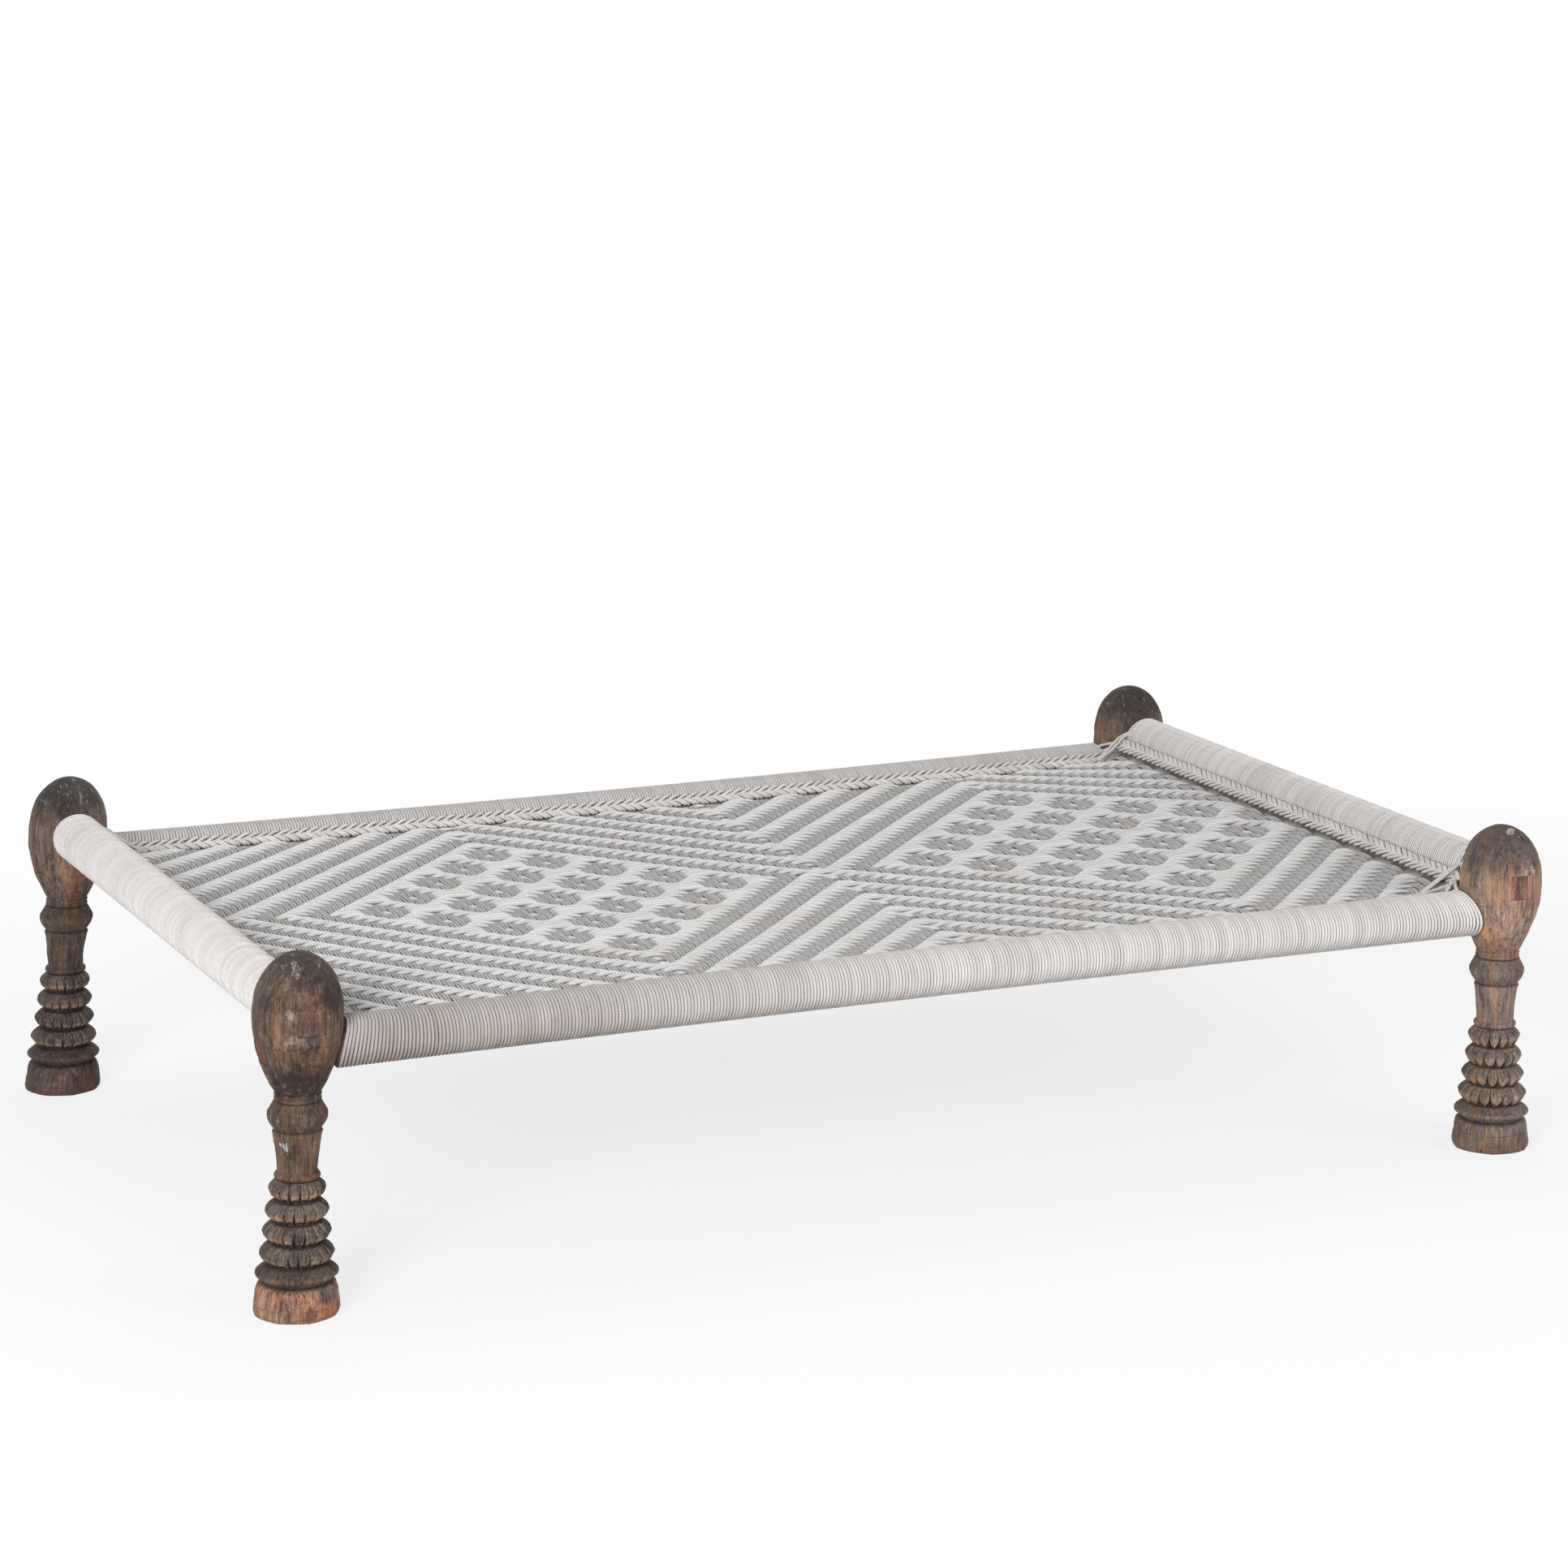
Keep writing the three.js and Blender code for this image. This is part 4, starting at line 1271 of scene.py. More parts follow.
@dataclass
class WoundRail:
    """One rail: its pole, the cord wound on it, the end turns and the twined edge."""

    side: RailSide
    height: float
    pole_radius: float
    bow: float
    tenon: tuple[float, float]
    ends: tuple[EndTurns, EndTurns]
    edge: EdgeLay
    seed: int
    turn_pitch: float = 4.42 * MM
    wound_cord: float = 4.45 * MM
    leg_gap: float = 0.8 * MM
    lean_turns: float = 30.0
    lean_power: float = 1.25
    steps: int = 18
    cord_sides: int = 6
    wander: float = 0.2 * MM
    shoulder: float = 40 * MM
    plain_from: float = 62 * MM
    tucked: float = 1.6 * MM

    @property
    def half_span(self) -> float:
        """From the rail's middle to a leg's axis."""
        return PLAN.half_long if self.side.along_x else PLAN.half_wide

    @property
    def winding_radius(self) -> float:
        """Radius of the wound cord's centre line."""
        return self.pole_radius + PLAN.fit_gap + PLAN.cord / 2

    @property
    def direction(self) -> np.ndarray:
        """Unit vector along the rail."""
        return np.array([1.0, 0.0, 0.0]) if self.side.along_x else np.array([0.0, 1.0, 0.0])

    @property
    def inward(self) -> np.ndarray:
        """Unit vector towards the bed's middle."""
        inner = -self.side.sign
        return np.array([0.0, inner, 0.0]) if self.side.along_x else np.array([inner, 0.0, 0.0])

    def place(self, along: np.ndarray, inward: np.ndarray, up: np.ndarray) -> np.ndarray:
        """Turns places in the rail's own frame into points.

        Args:
            along: Along the rail from its middle.
            inward: From its axis towards the bed's middle.
            up: Above its axis.

        Returns:
            The points.
        """
        along, inward, up = np.broadcast_arrays(*(np.asarray(v, float) for v in (along, inward, up)))
        offset = PLAN.half_wide if self.side.along_x else PLAN.half_long
        bowed = self.bow * (1.0 - np.minimum((along / self.half_span) ** 2, 1.0))
        across = self.side.sign * (offset - inward - bowed)
        x, y = (along, across) if self.side.along_x else (across, along)
        return np.stack([x + PLAN.middle_x, y, self.height + up], -1)

    def clearance(self, angle: np.ndarray) -> np.ndarray:
        """How far from the leg's axis a turn clears the head, at angles round the rail."""
        radius = self.winding_radius
        reach = PLAN.head_radius_at(self.height + radius * np.sin(angle)) + self.leg_gap + PLAN.cord / 2
        return np.sqrt(reach**2 - (radius * np.cos(angle)) ** 2)

    def furthest(self) -> float:
        """The largest of those distances, at which a turn square to the rail clears the head."""
        return float(self.clearance(np.arange(24) / 24 * TAU).max())

    def head_lean(self) -> np.ndarray:
        """How a turn leans along the head: a constant, a sine part and a squared cosine part."""
        angle = np.arange(72) / 72 * TAU
        parts = np.stack([np.ones_like(angle), np.sin(angle), np.cos(angle) ** 2], -1)
        return np.linalg.lstsq(parts, self.clearance(angle) - self.furthest(), rcond=None)[0]

    def turns_reach(self, end: EndTurns) -> float:
        """Where an end's turns stop and the close winding begins, from the leg's axis."""
        return self.furthest() + end.turns * (PLAN.cord + end.gap)

    def pole_end(self, out: int, leg: TurnedLeg, across: np.ndarray, up: np.ndarray) -> list[np.ndarray]:
        """Makes one end's rings of points: the tenon, cut flush with the leg, and the scribed shoulder.

        Args:
            out: The sign of the end's direction.
            leg: The leg that it goes through.
            across: Places round a square section from -1 to 1, across the rail.
            up: The same, upwards.

        Returns:
            The rings, from the tenon's far side to the shoulder.
        """
        half_wide, half_high = self.tenon[0] / 2, self.tenon[1] / 2
        column = 0 if self.side.along_x else 1
        rings = []
        for share in (0.05, 0.25, 0.5, 0.75, 0.94, 1.0):
            ring = self.place(out * self.half_span, share * across * half_wide, share * up * half_high)
            axis = leg.axis_at(ring[:, 2])
            lateral = (ring - axis)[:, 1 - column]
            reach = leg.surface_reach(self.side.along_x, out, lateral, ring[:, 2])
            ring[:, column] = axis[:, column] + out * (reach - (0.7 if share == 1.0 else 0.3) * MM)
            rings.append(ring)
        rings.append(self.place(out * (self.half_span - self.shoulder), across * half_wide, up * half_high))
        wide, high = self.round_section(across, up)
        head = PLAN.head_radius_at(self.height + high) + 0.5 * MM
        rings.append(self.place(out * (self.half_span - np.sqrt(head**2 - wide**2)), wide, high))
        return rings

    def round_section(self, across: np.ndarray, up: np.ndarray) -> tuple[np.ndarray, np.ndarray]:
        """Turns places round a square section into places round the pole."""
        turn = np.arctan2(up, across)
        return self.pole_radius * np.cos(turn), self.pole_radius * np.sin(turn)

    def build_pole(self, legs: tuple[TurnedLeg, TurnedLeg], finish: bpy.types.Material) -> bpy.types.Object:
        """Makes the pole: round and scribed to both heads, with tenons cut flush on their far sides.

        Args:
            legs: The legs at its two ends.
            finish: The pole's material.

        Returns:
            The pole.
        """
        step, one = np.arange(12) / 6.0 - 1.0, np.ones(12)
        across = np.concatenate([one, -step, -one, step])
        up = np.concatenate([step, one, -step, -one])
        reach = self.half_span - self.plain_from
        middle = [self.place(at, *self.round_section(across, up)) for at in np.linspace(-reach, reach, 25)]
        low, high = (self.pole_end(out, leg, across, up) for out, leg in zip((-1, 1), legs))
        rings = [*low, *middle, *high[::-1]]
        points = np.concatenate([*rings, [rings[0].mean(0)], [rings[-1].mean(0)]])
        pole = shape(f"{self.side.node}_pole", points, [], tube_faces(len(rings), len(across)))
        worked = bmesh.new()
        worked.from_mesh(pole.data)
        bmesh.ops.recalc_face_normals(worked, faces=worked.faces)
        worked.to_mesh(pole.data)
        worked.free()
        smooth_shaded(pole.data, 38.0)
        pole.data.materials.append(finish)
        return pole

    def build_winding(self, recipe: bpy.types.NodeTree, finish: bpy.types.Material) -> bpy.types.Object:
        """Winds the cord close from one end's turns to the other's.

        Args:
            recipe: The winding's tree.
            finish: The cord's material.

        Returns:
            The wound cord.
        """
        low, high = (self.half_span - self.turns_reach(end) for end in self.ends)
        sizes = {
            "Turns": round((low + high) / self.turn_pitch),
            "Turns Before": self.ends[0].turns,
            "Turns After": self.ends[1].turns,
            "Lean Turns": self.lean_turns,
            "Lean Power": self.lean_power,
            "Head Lean": self.head_lean().tolist(),
            "Steps": self.steps,
            "Sides": self.cord_sides,
            "Winding Radius": self.winding_radius,
            "Cord Diameter": self.wound_cord,
            "Wander": self.wander,
            "Seed": self.seed,
            "Rail Direction": self.direction.tolist(),
            "Inward": self.inward.tolist(),
            "Cord Finish": finish,
        }
        axis = self.place(np.linspace(-low, high, 49), 0.0, 0.0)
        return cook(recipe, f"{self.side.node}_wound_cord", [axis], sizes, {})

    def build_end_turns(
        self, recipe: bpy.types.NodeTree, finish: bpy.types.Material, index: int
    ) -> bpy.types.Object:
        """Lays the last turns against the head, from under the edge on to where the winding begins.

        Args:
            recipe: The cord's tree.
            finish: The cord's material.
            index: Which end of the rail.

        Returns:
            The end turns.
        """
        end = self.ends[index]
        out = 1 if index else -1
        share = np.arange(end.turns * 24 + 1) / (end.turns * 24)
        done = share * end.turns
        angle = -out * done * TAU
        a, b, c = self.head_lean()
        fitted = a + b * np.sin(angle) + c * np.cos(angle) ** 2
        close = self.clearance(angle) - self.furthest()
        held = (1.0 - done / self.lean_turns) ** self.lean_power
        lean = (close * (1.0 - share) + fitted * share) * held
        from_leg = self.furthest() + done * (PLAN.cord + end.gap) + lean
        radius = self.winding_radius - self.tucked * smooth_step(0.2, 0.0, done)
        path = self.place(out * (self.half_span - from_leg), radius * np.cos(angle), radius * np.sin(angle))
        marks = {
            "lie": [np.tile(self.direction, (len(path), 1))],
            "tone": [0.55 + 0.35 * np.sin(np.arange(len(path)) / 11.0)],
        }
        sizes = {"Cord Diameter": self.wound_cord, "Sides": self.cord_sides, "Cord Finish": finish}
        return cook(recipe, f"{self.side.node}_end_turns_{end.side}", [path], sizes, marks)

    def build_edge(self, recipe: bpy.types.NodeTree, finish: bpy.types.Material) -> bpy.types.Object:
        """Twines the edge in two rows of slanted stitches that meet in points.

        Args:
            recipe: The twined edge's tree.
            finish: The cord's material.

        Returns:
            The twined edge.
        """
        lay = self.edge
        down = lay.down()
        middle = lay.top(self.pole_radius) + down * lay.half_depth
        reach = (PLAN.panel_half_long if self.side.along_x else PLAN.panel_half_wide) + 4 * MM
        path = self.place(np.linspace(-reach, reach, 61), middle[0], middle[1])
        fall = self.inward * down[0] + np.array([0.0, 0.0, 1.0]) * down[1]
        forward = self.direction * lay.direction
        normal = np.cross(forward, fall)
        if normal[2] < 0:
            normal = -normal
        turned = Matrix((forward.tolist(), np.cross(normal, forward).tolist(), normal.tolist())).transposed()
        flip = 1.0 if np.dot(np.cross(normal, forward), fall) > 0 else -1.0
        sizes = {
            "Stitch Pitch": lay.stitch_pitch,
            "Row Width": lay.row_width * flip,
            "Crest": lay.crest,
            "Strand Step": lay.strand_step,
            "Turned": list(turned.to_euler()),
            "Seed": self.seed,
            "Sides": self.cord_sides,
            "Cord Finish": finish,
        }
        for name, row in (("Outer", lay.outer), ("Inner", lay.inner)):
            sizes |= {f"{name} Run": row.run, f"{name} Strands": row.strands, f"{name} Cord": row.cord}
        return cook(recipe, f"{self.side.node}_twined_edge", [path], sizes, {})


def winding_recipe() -> bpy.types.NodeTree:
    """Builds the tree that winds a cord round a rail's axis and leans its ends along the heads.

    Returns:
        The tree.
    """
    r = Recipe(
        "rail_winding",
        Int="Turns, Turns Before, Turns After, Steps, Sides, Seed",
        Float="Lean Turns, Lean Power, Winding Radius, Cord Diameter, Wander",
        Vector="Head Lean, Rail Direction, Inward",
    )
    g = r.given
    feeds = {"Curve": r.given_curve(), "Count": g["Turns"] * g["Steps"] + 1.0}
    line = r.make("GeometryNodeResampleCurve", feeds, mode="COUNT")
    turn = r.factor * g["Turns"]
    angle = turn * TAU
    sine, cosine = r.math("SINE", angle), r.math("COSINE", angle)
    seed = g["Seed"] * 37.7

    def waver(rate: float, shift: float) -> Field:
        """Noise round zero that changes with the turns."""
        feeds = {"W": turn * rate + (seed + shift), "Scale": 1.0, "Detail": 1.0}
        return (r.make("ShaderNodeTexNoise", feeds, noise_dimensions="1D") - 0.5) * 2.0

    def held(from_end: Field) -> Field:
        """How much a turn still leans, by its number from the head."""
        return r.math("SUBTRACT", 1.0, from_end / g["Lean Turns"], clamp=True) ** g["Lean Power"]

    radius = g["Winding Radius"] + waver(1.7, 5.0) * g["Wander"] * 0.7
    drift = (waver(0.83, 0.0) + waver(0.11, 9.0) * 1.6) * g["Wander"]
    leaning = held(turn + g["Turns Before"]) - held(g["Turns"] - turn + g["Turns After"])
    lean = r.dot(r.combine(1.0, sine, cosine * cosine), g["Head Lean"]) * leaning
    offset = g["Inward"] * (cosine * radius) + r.combine(0.0, 0.0, sine * radius)
    coil = r.move(line, offset + g["Rail Direction"] * (drift + lean))
    coil = r.store(coil, "along", angle * g["Winding Radius"])
    coil = r.store(coil, "lie", g["Rail Direction"], "FLOAT_VECTOR")
    whole = r.math("FLOOR", turn + 0.25) + seed
    tone = r.make("ShaderNodeTexWhiteNoise", {"W": whole}, "Value", noise_dimensions="1D")
    return r.serve(r.sweep(r.store(coil, "tone", tone), g["Cord Diameter"]))


def cord_recipe() -> bpy.types.NodeTree:
    """Builds the tree that sweeps a plain cord along given lines."""
    r = Recipe("laid_cord", Float="Cord Diameter", Int="Sides")
    return r.serve(r.sweep(r.measured(r.given_curve()), r.given["Cord Diameter"]))


def edge_recipe() -> bpy.types.NodeTree:
    """Builds the tree that twines an edge: two rows of slanted stitches along a line.

    Returns:
        The tree.
    """
    r = Recipe(
        "twined_edge",
        Float="Stitch Pitch, Row Width, Outer Run, Outer Cord, Inner Run, Inner Cord, Crest, Strand Step",
        Int="Outer Strands, Inner Strands, Sides, Seed",
        Vector="Turned",
    )
    g = r.given
    feeds = {"Curve": r.given_curve(), "Length": g["Stitch Pitch"]}
    places = r.make("GeometryNodeCurveToPoints", feeds, mode="LENGTH")
    rotation = r.make("FunctionNodeEulerToRotation", {0: g["Turned"]})
    joined = r.node("GeometryNodeJoinGeometry")
    for row, edge in (("Outer", -1.0), ("Inner", 1.0)):
        run, strands, cord = (g[f"{row} {size}"] for size in ("Run", "Strands", "Cord"))
        start = r.combine(run * -0.5, g["Row Width"] * edge)
        end = r.combine(run * 0.5, g["Row Width"] * (-0.08 * edge))
        stitch = r.make("GeometryNodeCurvePrimitiveLine", {"Start": start, "End": end}, mode="POINTS")
        stitch = r.make("GeometryNodeResampleCurve", {"Curve": stitch, "Count": 8}, mode="COUNT")
        rise = (r.math("SINE", r.factor * math.pi) ** 0.6 - 0.8) * g["Crest"]
        bend = r.math("SINE", r.factor * TAU) * (g["Row Width"] * (0.1 * edge))
        stitch = r.measured(r.move(stitch, r.combine(0.0, bend, rise)))
        # Painted shade: the stitch's ends, where it tucks under its neighbours, are marked to darken
        stitch = r.store(stitch, "dip_shade", abs(r.factor * 2.0 - 1.0) ** 6.0)
        feeds = {0: r.combine(g["Row Width"], run * edge)}
        lean = r.make("ShaderNodeVectorMath", feeds, operation="NORMALIZE")
        turned = r.make("FunctionNodeRotateVector", {0: lean, 1: rotation})
        stitch = r.store(stitch, "lie", turned, "FLOAT_VECTOR")
        feeds = {"Count": strands, "Offset": r.combine(g["Strand Step"])}
        spots = r.make("GeometryNodeMeshLine", feeds, mode="OFFSET")
        feeds = {"Points": spots, "Instance": r.sweep(stitch, cord)}
        group = r.make("GeometryNodeInstanceOnPoints", feeds)
        seed = g["Seed"] + 11.0 * edge
        feeds = {0: (0.93, 0.93, 0.8), 1: (1.08, 1.06, 1.22), 8: seed}
        wild = r.make("FunctionNodeRandomValue", feeds, data_type="FLOAT_VECTOR")
        feeds = {"Points": places, "Instance": group, "Rotation": rotation, "Scale": wild}
        laid = r.make("GeometryNodeInstanceOnPoints", feeds)
        tone = r.make("FunctionNodeRandomValue", {2: 0.0, 3: 1.0, 8: seed}, 1, data_type="FLOAT")
        r.feed(joined.inputs[0], r.store(laid, "tone", tone, domain="INSTANCE"))
    return r.serve(Field(r, joined.outputs[0]))


# Panel


@dataclass(frozen=True)
class DiamondDraft:
    """The weave's draft in groups of cords: a six-group twill round two diamonds with eyelets."""

    columns: int = 124
    rows: int = 70
    centres: tuple[int, int] = (39, 103)
    centre_row: int = 35
    repeat: int = 6
    diamond: int = 27
    lattice: int = 5

    def lengthwise_on_top(self, column: np.ndarray, row: np.ndarray) -> np.ndarray:
        """Tells where the lengthwise cords lie on top.

        Args:
            column: Crosswise groups, counted along the bed.
            row: Lengthwise groups, counted across the bed.

        Returns:
            True where the lengthwise group is on top.
        """
        left, right = self.centres
        mirror = (left + right) // 2
        along = np.where(column <= mirror, column - left, column - right)
        across = row - self.centre_row
        away = np.abs(along) + np.abs(across)
        phase = away % self.repeat
        bands = phase < self.repeat // 2
        knots = (phase == self.repeat // 2 + 1) & ((along == 0) | (column == mirror))
        eyelets = self.eyelet(along, across) | self.eyelet(along + self.lattice, across + self.lattice)
        return np.where(away < self.diamond, ~eyelets, bands | knots)

    def eyelet(self, along: np.ndarray, across: np.ndarray) -> np.ndarray:
        """Tells which cells belong to an eyelet, where crosswise cords lie on top round one tie."""
        a, b = ((place + self.lattice) % (2 * self.lattice) - self.lattice for place in (along, across))
        return (np.abs(a) <= 2) & (np.abs(a) + np.abs(b) <= 3) & ~((a == 0) & (b == 0))


@dataclass(frozen=True)
class CordLay:
    """One of the panel's two sets of cords.

    It rides higher by a share of the lift, is painted darker as shade where it dips under a height in
    the same shares, and opens its three strands where it floats.
    """

    kind: str
    cord: float
    ride: float
    dip_from: float
    open_float: float
    seed: int


LENGTHWISE = CordLay("lengthwise", 4.05 * MM, 0.24, -0.15, 0.97, 1)
CROSSWISE = CordLay("crosswise", 3.6 * MM, 0.0, 0.3, 1.0, 5)


@dataclass
class WovenPanel:
    """The panel: lengthwise and crosswise cords in groups of three, laid by the draft."""

    draft: DiamondDraft
    rails: dict[RailSide, WoundRail]
    lift: float = 3.2 * MM
    squeeze: float = 0.95
    soften: int = 2
    wander: float = 0.5 * MM
    cord_sides: int = 5
    column_pitch: tuple[tuple[float, float], ...] = ((0.0, 12.3), (60.0, 12.3), (76.0, 13.5), (124.0, 13.8))
    row_growth: float = 0.036
    worn_sag: float = 7.0 * MM
    sag_powers: tuple[float, float] = (1.5, 2.1)
    sag_peak: float = 0.0867
    strips: int = 4

    def column_place(self, column: np.ndarray) -> np.ndarray:
        """Places crosswise groups along the bed by their pitch, which grows past the middle."""
        whole = np.arange(self.draft.columns + 1.0)
        pitch = np.interp(whole[:-1] + 0.5, *np.array(self.column_pitch).T)
        placed = np.concatenate([[0.0], np.cumsum(pitch)])
        return (2.0 * np.interp(column, whole, placed) / placed[-1] - 1.0) * PLAN.panel_half_long

    def row_share(self, row: np.ndarray) -> np.ndarray:
        """Places lengthwise groups across the bed, as shares from front to rear, wider in the middle."""
        share = row / self.draft.rows
        return share + self.row_growth / TAU * np.sin(TAU * (share - 0.5))

    def surface(self, column: np.ndarray, row: np.ndarray) -> np.ndarray:
        """Points of the panel's middle surface, which sags most a little left of the middle.

        Args:
            column: Places in crosswise groups.
            row: Places in lengthwise groups.

        Returns:
            The points.
        """
        x = self.column_place(column)
        share = self.row_share(row)
        inward = PLAN.half_wide - PLAN.panel_half_wide
        sides = (RailSide.FRONT, RailSide.REAR)
        front, rear = (self.rails[side].place(x, inward, 0.0)[..., 1] for side in sides)
        y = front + (rear - front) * share
        long_share, wide_share = x / PLAN.panel_half_long, 2.0 * share - 1.0
        from_left = np.clip((1.0 + long_share) / 2.0, 0.0, 1.0)
        low, high = self.sag_powers
        bellied = from_left**low * (1.0 - from_left) ** high / self.sag_peak
        z = PLAN.panel_height(long_share, wide_share) - self.worn_sag * bellied * (1.0 - wide_share**2)
        return np.stack([x + PLAN.middle_x, y, z], -1)

    @staticmethod
    def tails(rail: WoundRail, along: float) -> np.ndarray:
        """The hidden stretch from the rail down to the panel, under the twined edge.

        Args:
            rail: The rail.
            along: Where on it the cord comes down.

        Returns:
            Three points.
        """
        edge, down = rail.edge, rail.edge.down()
        below = edge.top(rail.pole_radius) + np.array([down[1], -down[0]]) * edge.tail_depth
        return np.array([rail.place(along, *(below + down * run * edge.half_depth)) for run in range(3)])

    @staticmethod
    def between(over: np.ndarray) -> np.ndarray:
        """Fills the points between two cells with the mean of both, and keeps both ends low.

        Args:
            over: 1 in a cell where the cord is on top, -1 where it is below, 0 between cells.

        Returns:
            The filled heights.
        """
        filled = over.copy()
        filled[2:-1:2] = (over[1:-2:2] + over[3::2]) / 2.0
        filled[:2] = np.minimum(filled[:2], -0.4)
        filled[-2:] = np.minimum(filled[-2:], -0.4)
        return filled

    def paths(self, lay: CordLay) -> tuple[list[np.ndarray], dict]:
        """Lays out one set of cords. Each cord's two tails lie still.

        Args:
            lay: The set.

        Returns:
            The cords' paths and their marks.
        """
        draft, long = self.draft, lay is LENGTHWISE
        groups, cells = (draft.rows, draft.columns) if long else (draft.columns, draft.rows)
        sides = (RailSide.LEFT, RailSide.RIGHT) if long else (RailSide.FRONT, RailSide.REAR)
        axis, origin, lie = (1, 0.0, (0.0, 1.0, 0.0)) if long else (0, PLAN.middle_x, (1.0, 0.0, 0.0))
        along = np.arange(2 * cells + 1) / 2.0
        cell = np.minimum(along.astype(int), cells - 1)

        def crossed(places: np.ndarray, group: float) -> tuple[np.ndarray, np.ndarray]:
            """Puts places along a cord and its group's number in the order column, row."""
            same = np.full(len(places), group)
            return (places, same) if long else (same, places)

        paths, marks = [], {"over": [], "strand": [], "spread": [], "lie": [], "group": []}
        for group in range(groups):
            top = draft.lengthwise_on_top(*crossed(cell, group)) == long
            over = self.between(np.where(along % 1.0 > 0, np.where(top, 1.0, -1.0), 0.0))
            middle = self.surface(*crossed(along, group + 0.5))
            if long:
                near, far = (self.surface(*crossed(along, float(edge))) for edge in (group, group + 1))
                pitch = np.linalg.norm(far - near, axis=-1)
            else:
                near, far = self.column_place(np.array([group, group + 1.0]))
                pitch = np.full(len(along), far - near)
            for strand in (-1.0, 0.0, 1.0):
                starts = (middle[i, axis] - origin + strand * pitch[i] / 3 for i in (0, -1))
                before, after = (self.tails(self.rails[side], start) for side, start in zip(sides, starts))
                paths.append(np.concatenate([before, middle, after[::-1]]))
                marks["over"].append(np.pad(over, 3, constant_values=-1.0))
                marks["strand"].append(np.pad(np.full(len(over), strand), 3))
                marks["spread"].append(np.pad(pitch / 3, 3))
                marks["lie"].append(np.tile(lie, (len(paths[-1]), 1)))
                marks["group"].append(np.full(len(paths[-1]), float(group)))
        return paths, marks

    def build(self, recipe: bpy.types.NodeTree, finishes: dict[CordLay, bpy.types.Material]) -> list:
        """Weaves the panel in strips that each stay small enough for one file.

        Args:
            recipe: The woven cord's tree.
            finishes: Material of each set of cords.

        Returns:
            The strips.
        """
        made = []
        for lay, finish in finishes.items():
            paths, marks = self.paths(lay)
            bounds = np.linspace(0, len(paths) // 3, self.strips + 1).astype(int) * 3
            for number, (low, high) in enumerate(zip(bounds, bounds[1:])):
                some = {mark: rows[low:high] for mark, rows in marks.items()}
                sizes = {
                    "Cord Diameter": lay.cord,
                    "Sides": self.cord_sides,
                    "Lift": self.lift,
                    "Soften": self.soften,
                    "Squeeze": self.squeeze,
                    "Wander": self.wander,
                    "Group Wander": self.wander,
                    "Ride": lay.ride,
                    "Dip From": lay.dip_from,
                    "Open Float": lay.open_float,
                    "Seed": 10 * number + lay.seed,
                    "Cord Finish": finish,
                }
                name = f"panel_{lay.kind}_cords_{number + 1}"
                made.append(cook(recipe, name, paths[low:high], sizes, some))
        return made


def weave_recipe() -> bpy.types.NodeTree:
    """Builds the tree that makes woven cords: floats arch, crossings squeeze, strands wander.

    Returns:
        The tree.
    """
    r = Recipe(
        "woven_cords",
        Float="Cord Diameter, Lift, Squeeze, Open Float, Wander, Group Wander, Ride, Dip From",
        Int="Sides, Soften, Seed",
    )
    g = r.given
    feeds = {"Value": r.read("over"), "Iterations": g["Soften"], "Weight": 1.0}
    softened = r.make("GeometryNodeBlurAttribute", feeds, data_type="FLOAT")
    line = r.store(r.given_curve(), "soft", softened)
    soft, strand, spread = (r.read(name) for name in ("soft", "strand", "spread"))
    which = r.make("GeometryNodeCurveOfPoint", output="Curve Index")
    feeds = {2: 0.0, 3: 1.0, 7: which, 8: g["Seed"]}
    tone = r.make("FunctionNodeRandomValue", feeds, 1, data_type="FLOAT")
    line = r.store(line, "tone", tone)

    # Strands close up where the group dips and open where it floats
    squeeze = (g["Open Float"] - g["Squeeze"]) * abs(soft) + g["Squeeze"]
    place = r.make("GeometryNodeInputPosition")
    sway = r.noise(place + r.combine(0.0, 0.0, r.read("group") * 3.3), 24.0, 1.0) * 2.0 - 1.0
    sway = sway * g["Group Wander"] * r.math("GREATER_THAN", spread, 0.0)
    sideways = r.read("lie", "FLOAT_VECTOR") * (strand * spread * squeeze + sway)
    at = place + r.combine(0.0, 0.0, (tone + g["Seed"]) * 7.3)
    noise = r.make("ShaderNodeTexNoise", {"Vector": at, "Scale": 55.0, "Detail": 1.0}, "Color")
    wander = (noise - (0.5, 0.5, 0.5)) * (g["Wander"] * 2.0)
    crown = soft * (1.0 - abs(strand)) * (g["Cord Diameter"] * 0.16)
    rise = (soft + g["Ride"]) * g["Lift"] + crown
    # Painted shade: marks how far a cord sinks below Dip From, to darken it where it passes under others
    line = r.store(line, "dip_shade", r.math("DIVIDE", g["Dip From"] - soft, 0.6, clamp=True))
    line = r.move(line, sideways + r.combine(0.0, 0.0, rise) + wander)
    return r.serve(r.sweep(r.measured(line), g["Cord Diameter"]))


# Corners


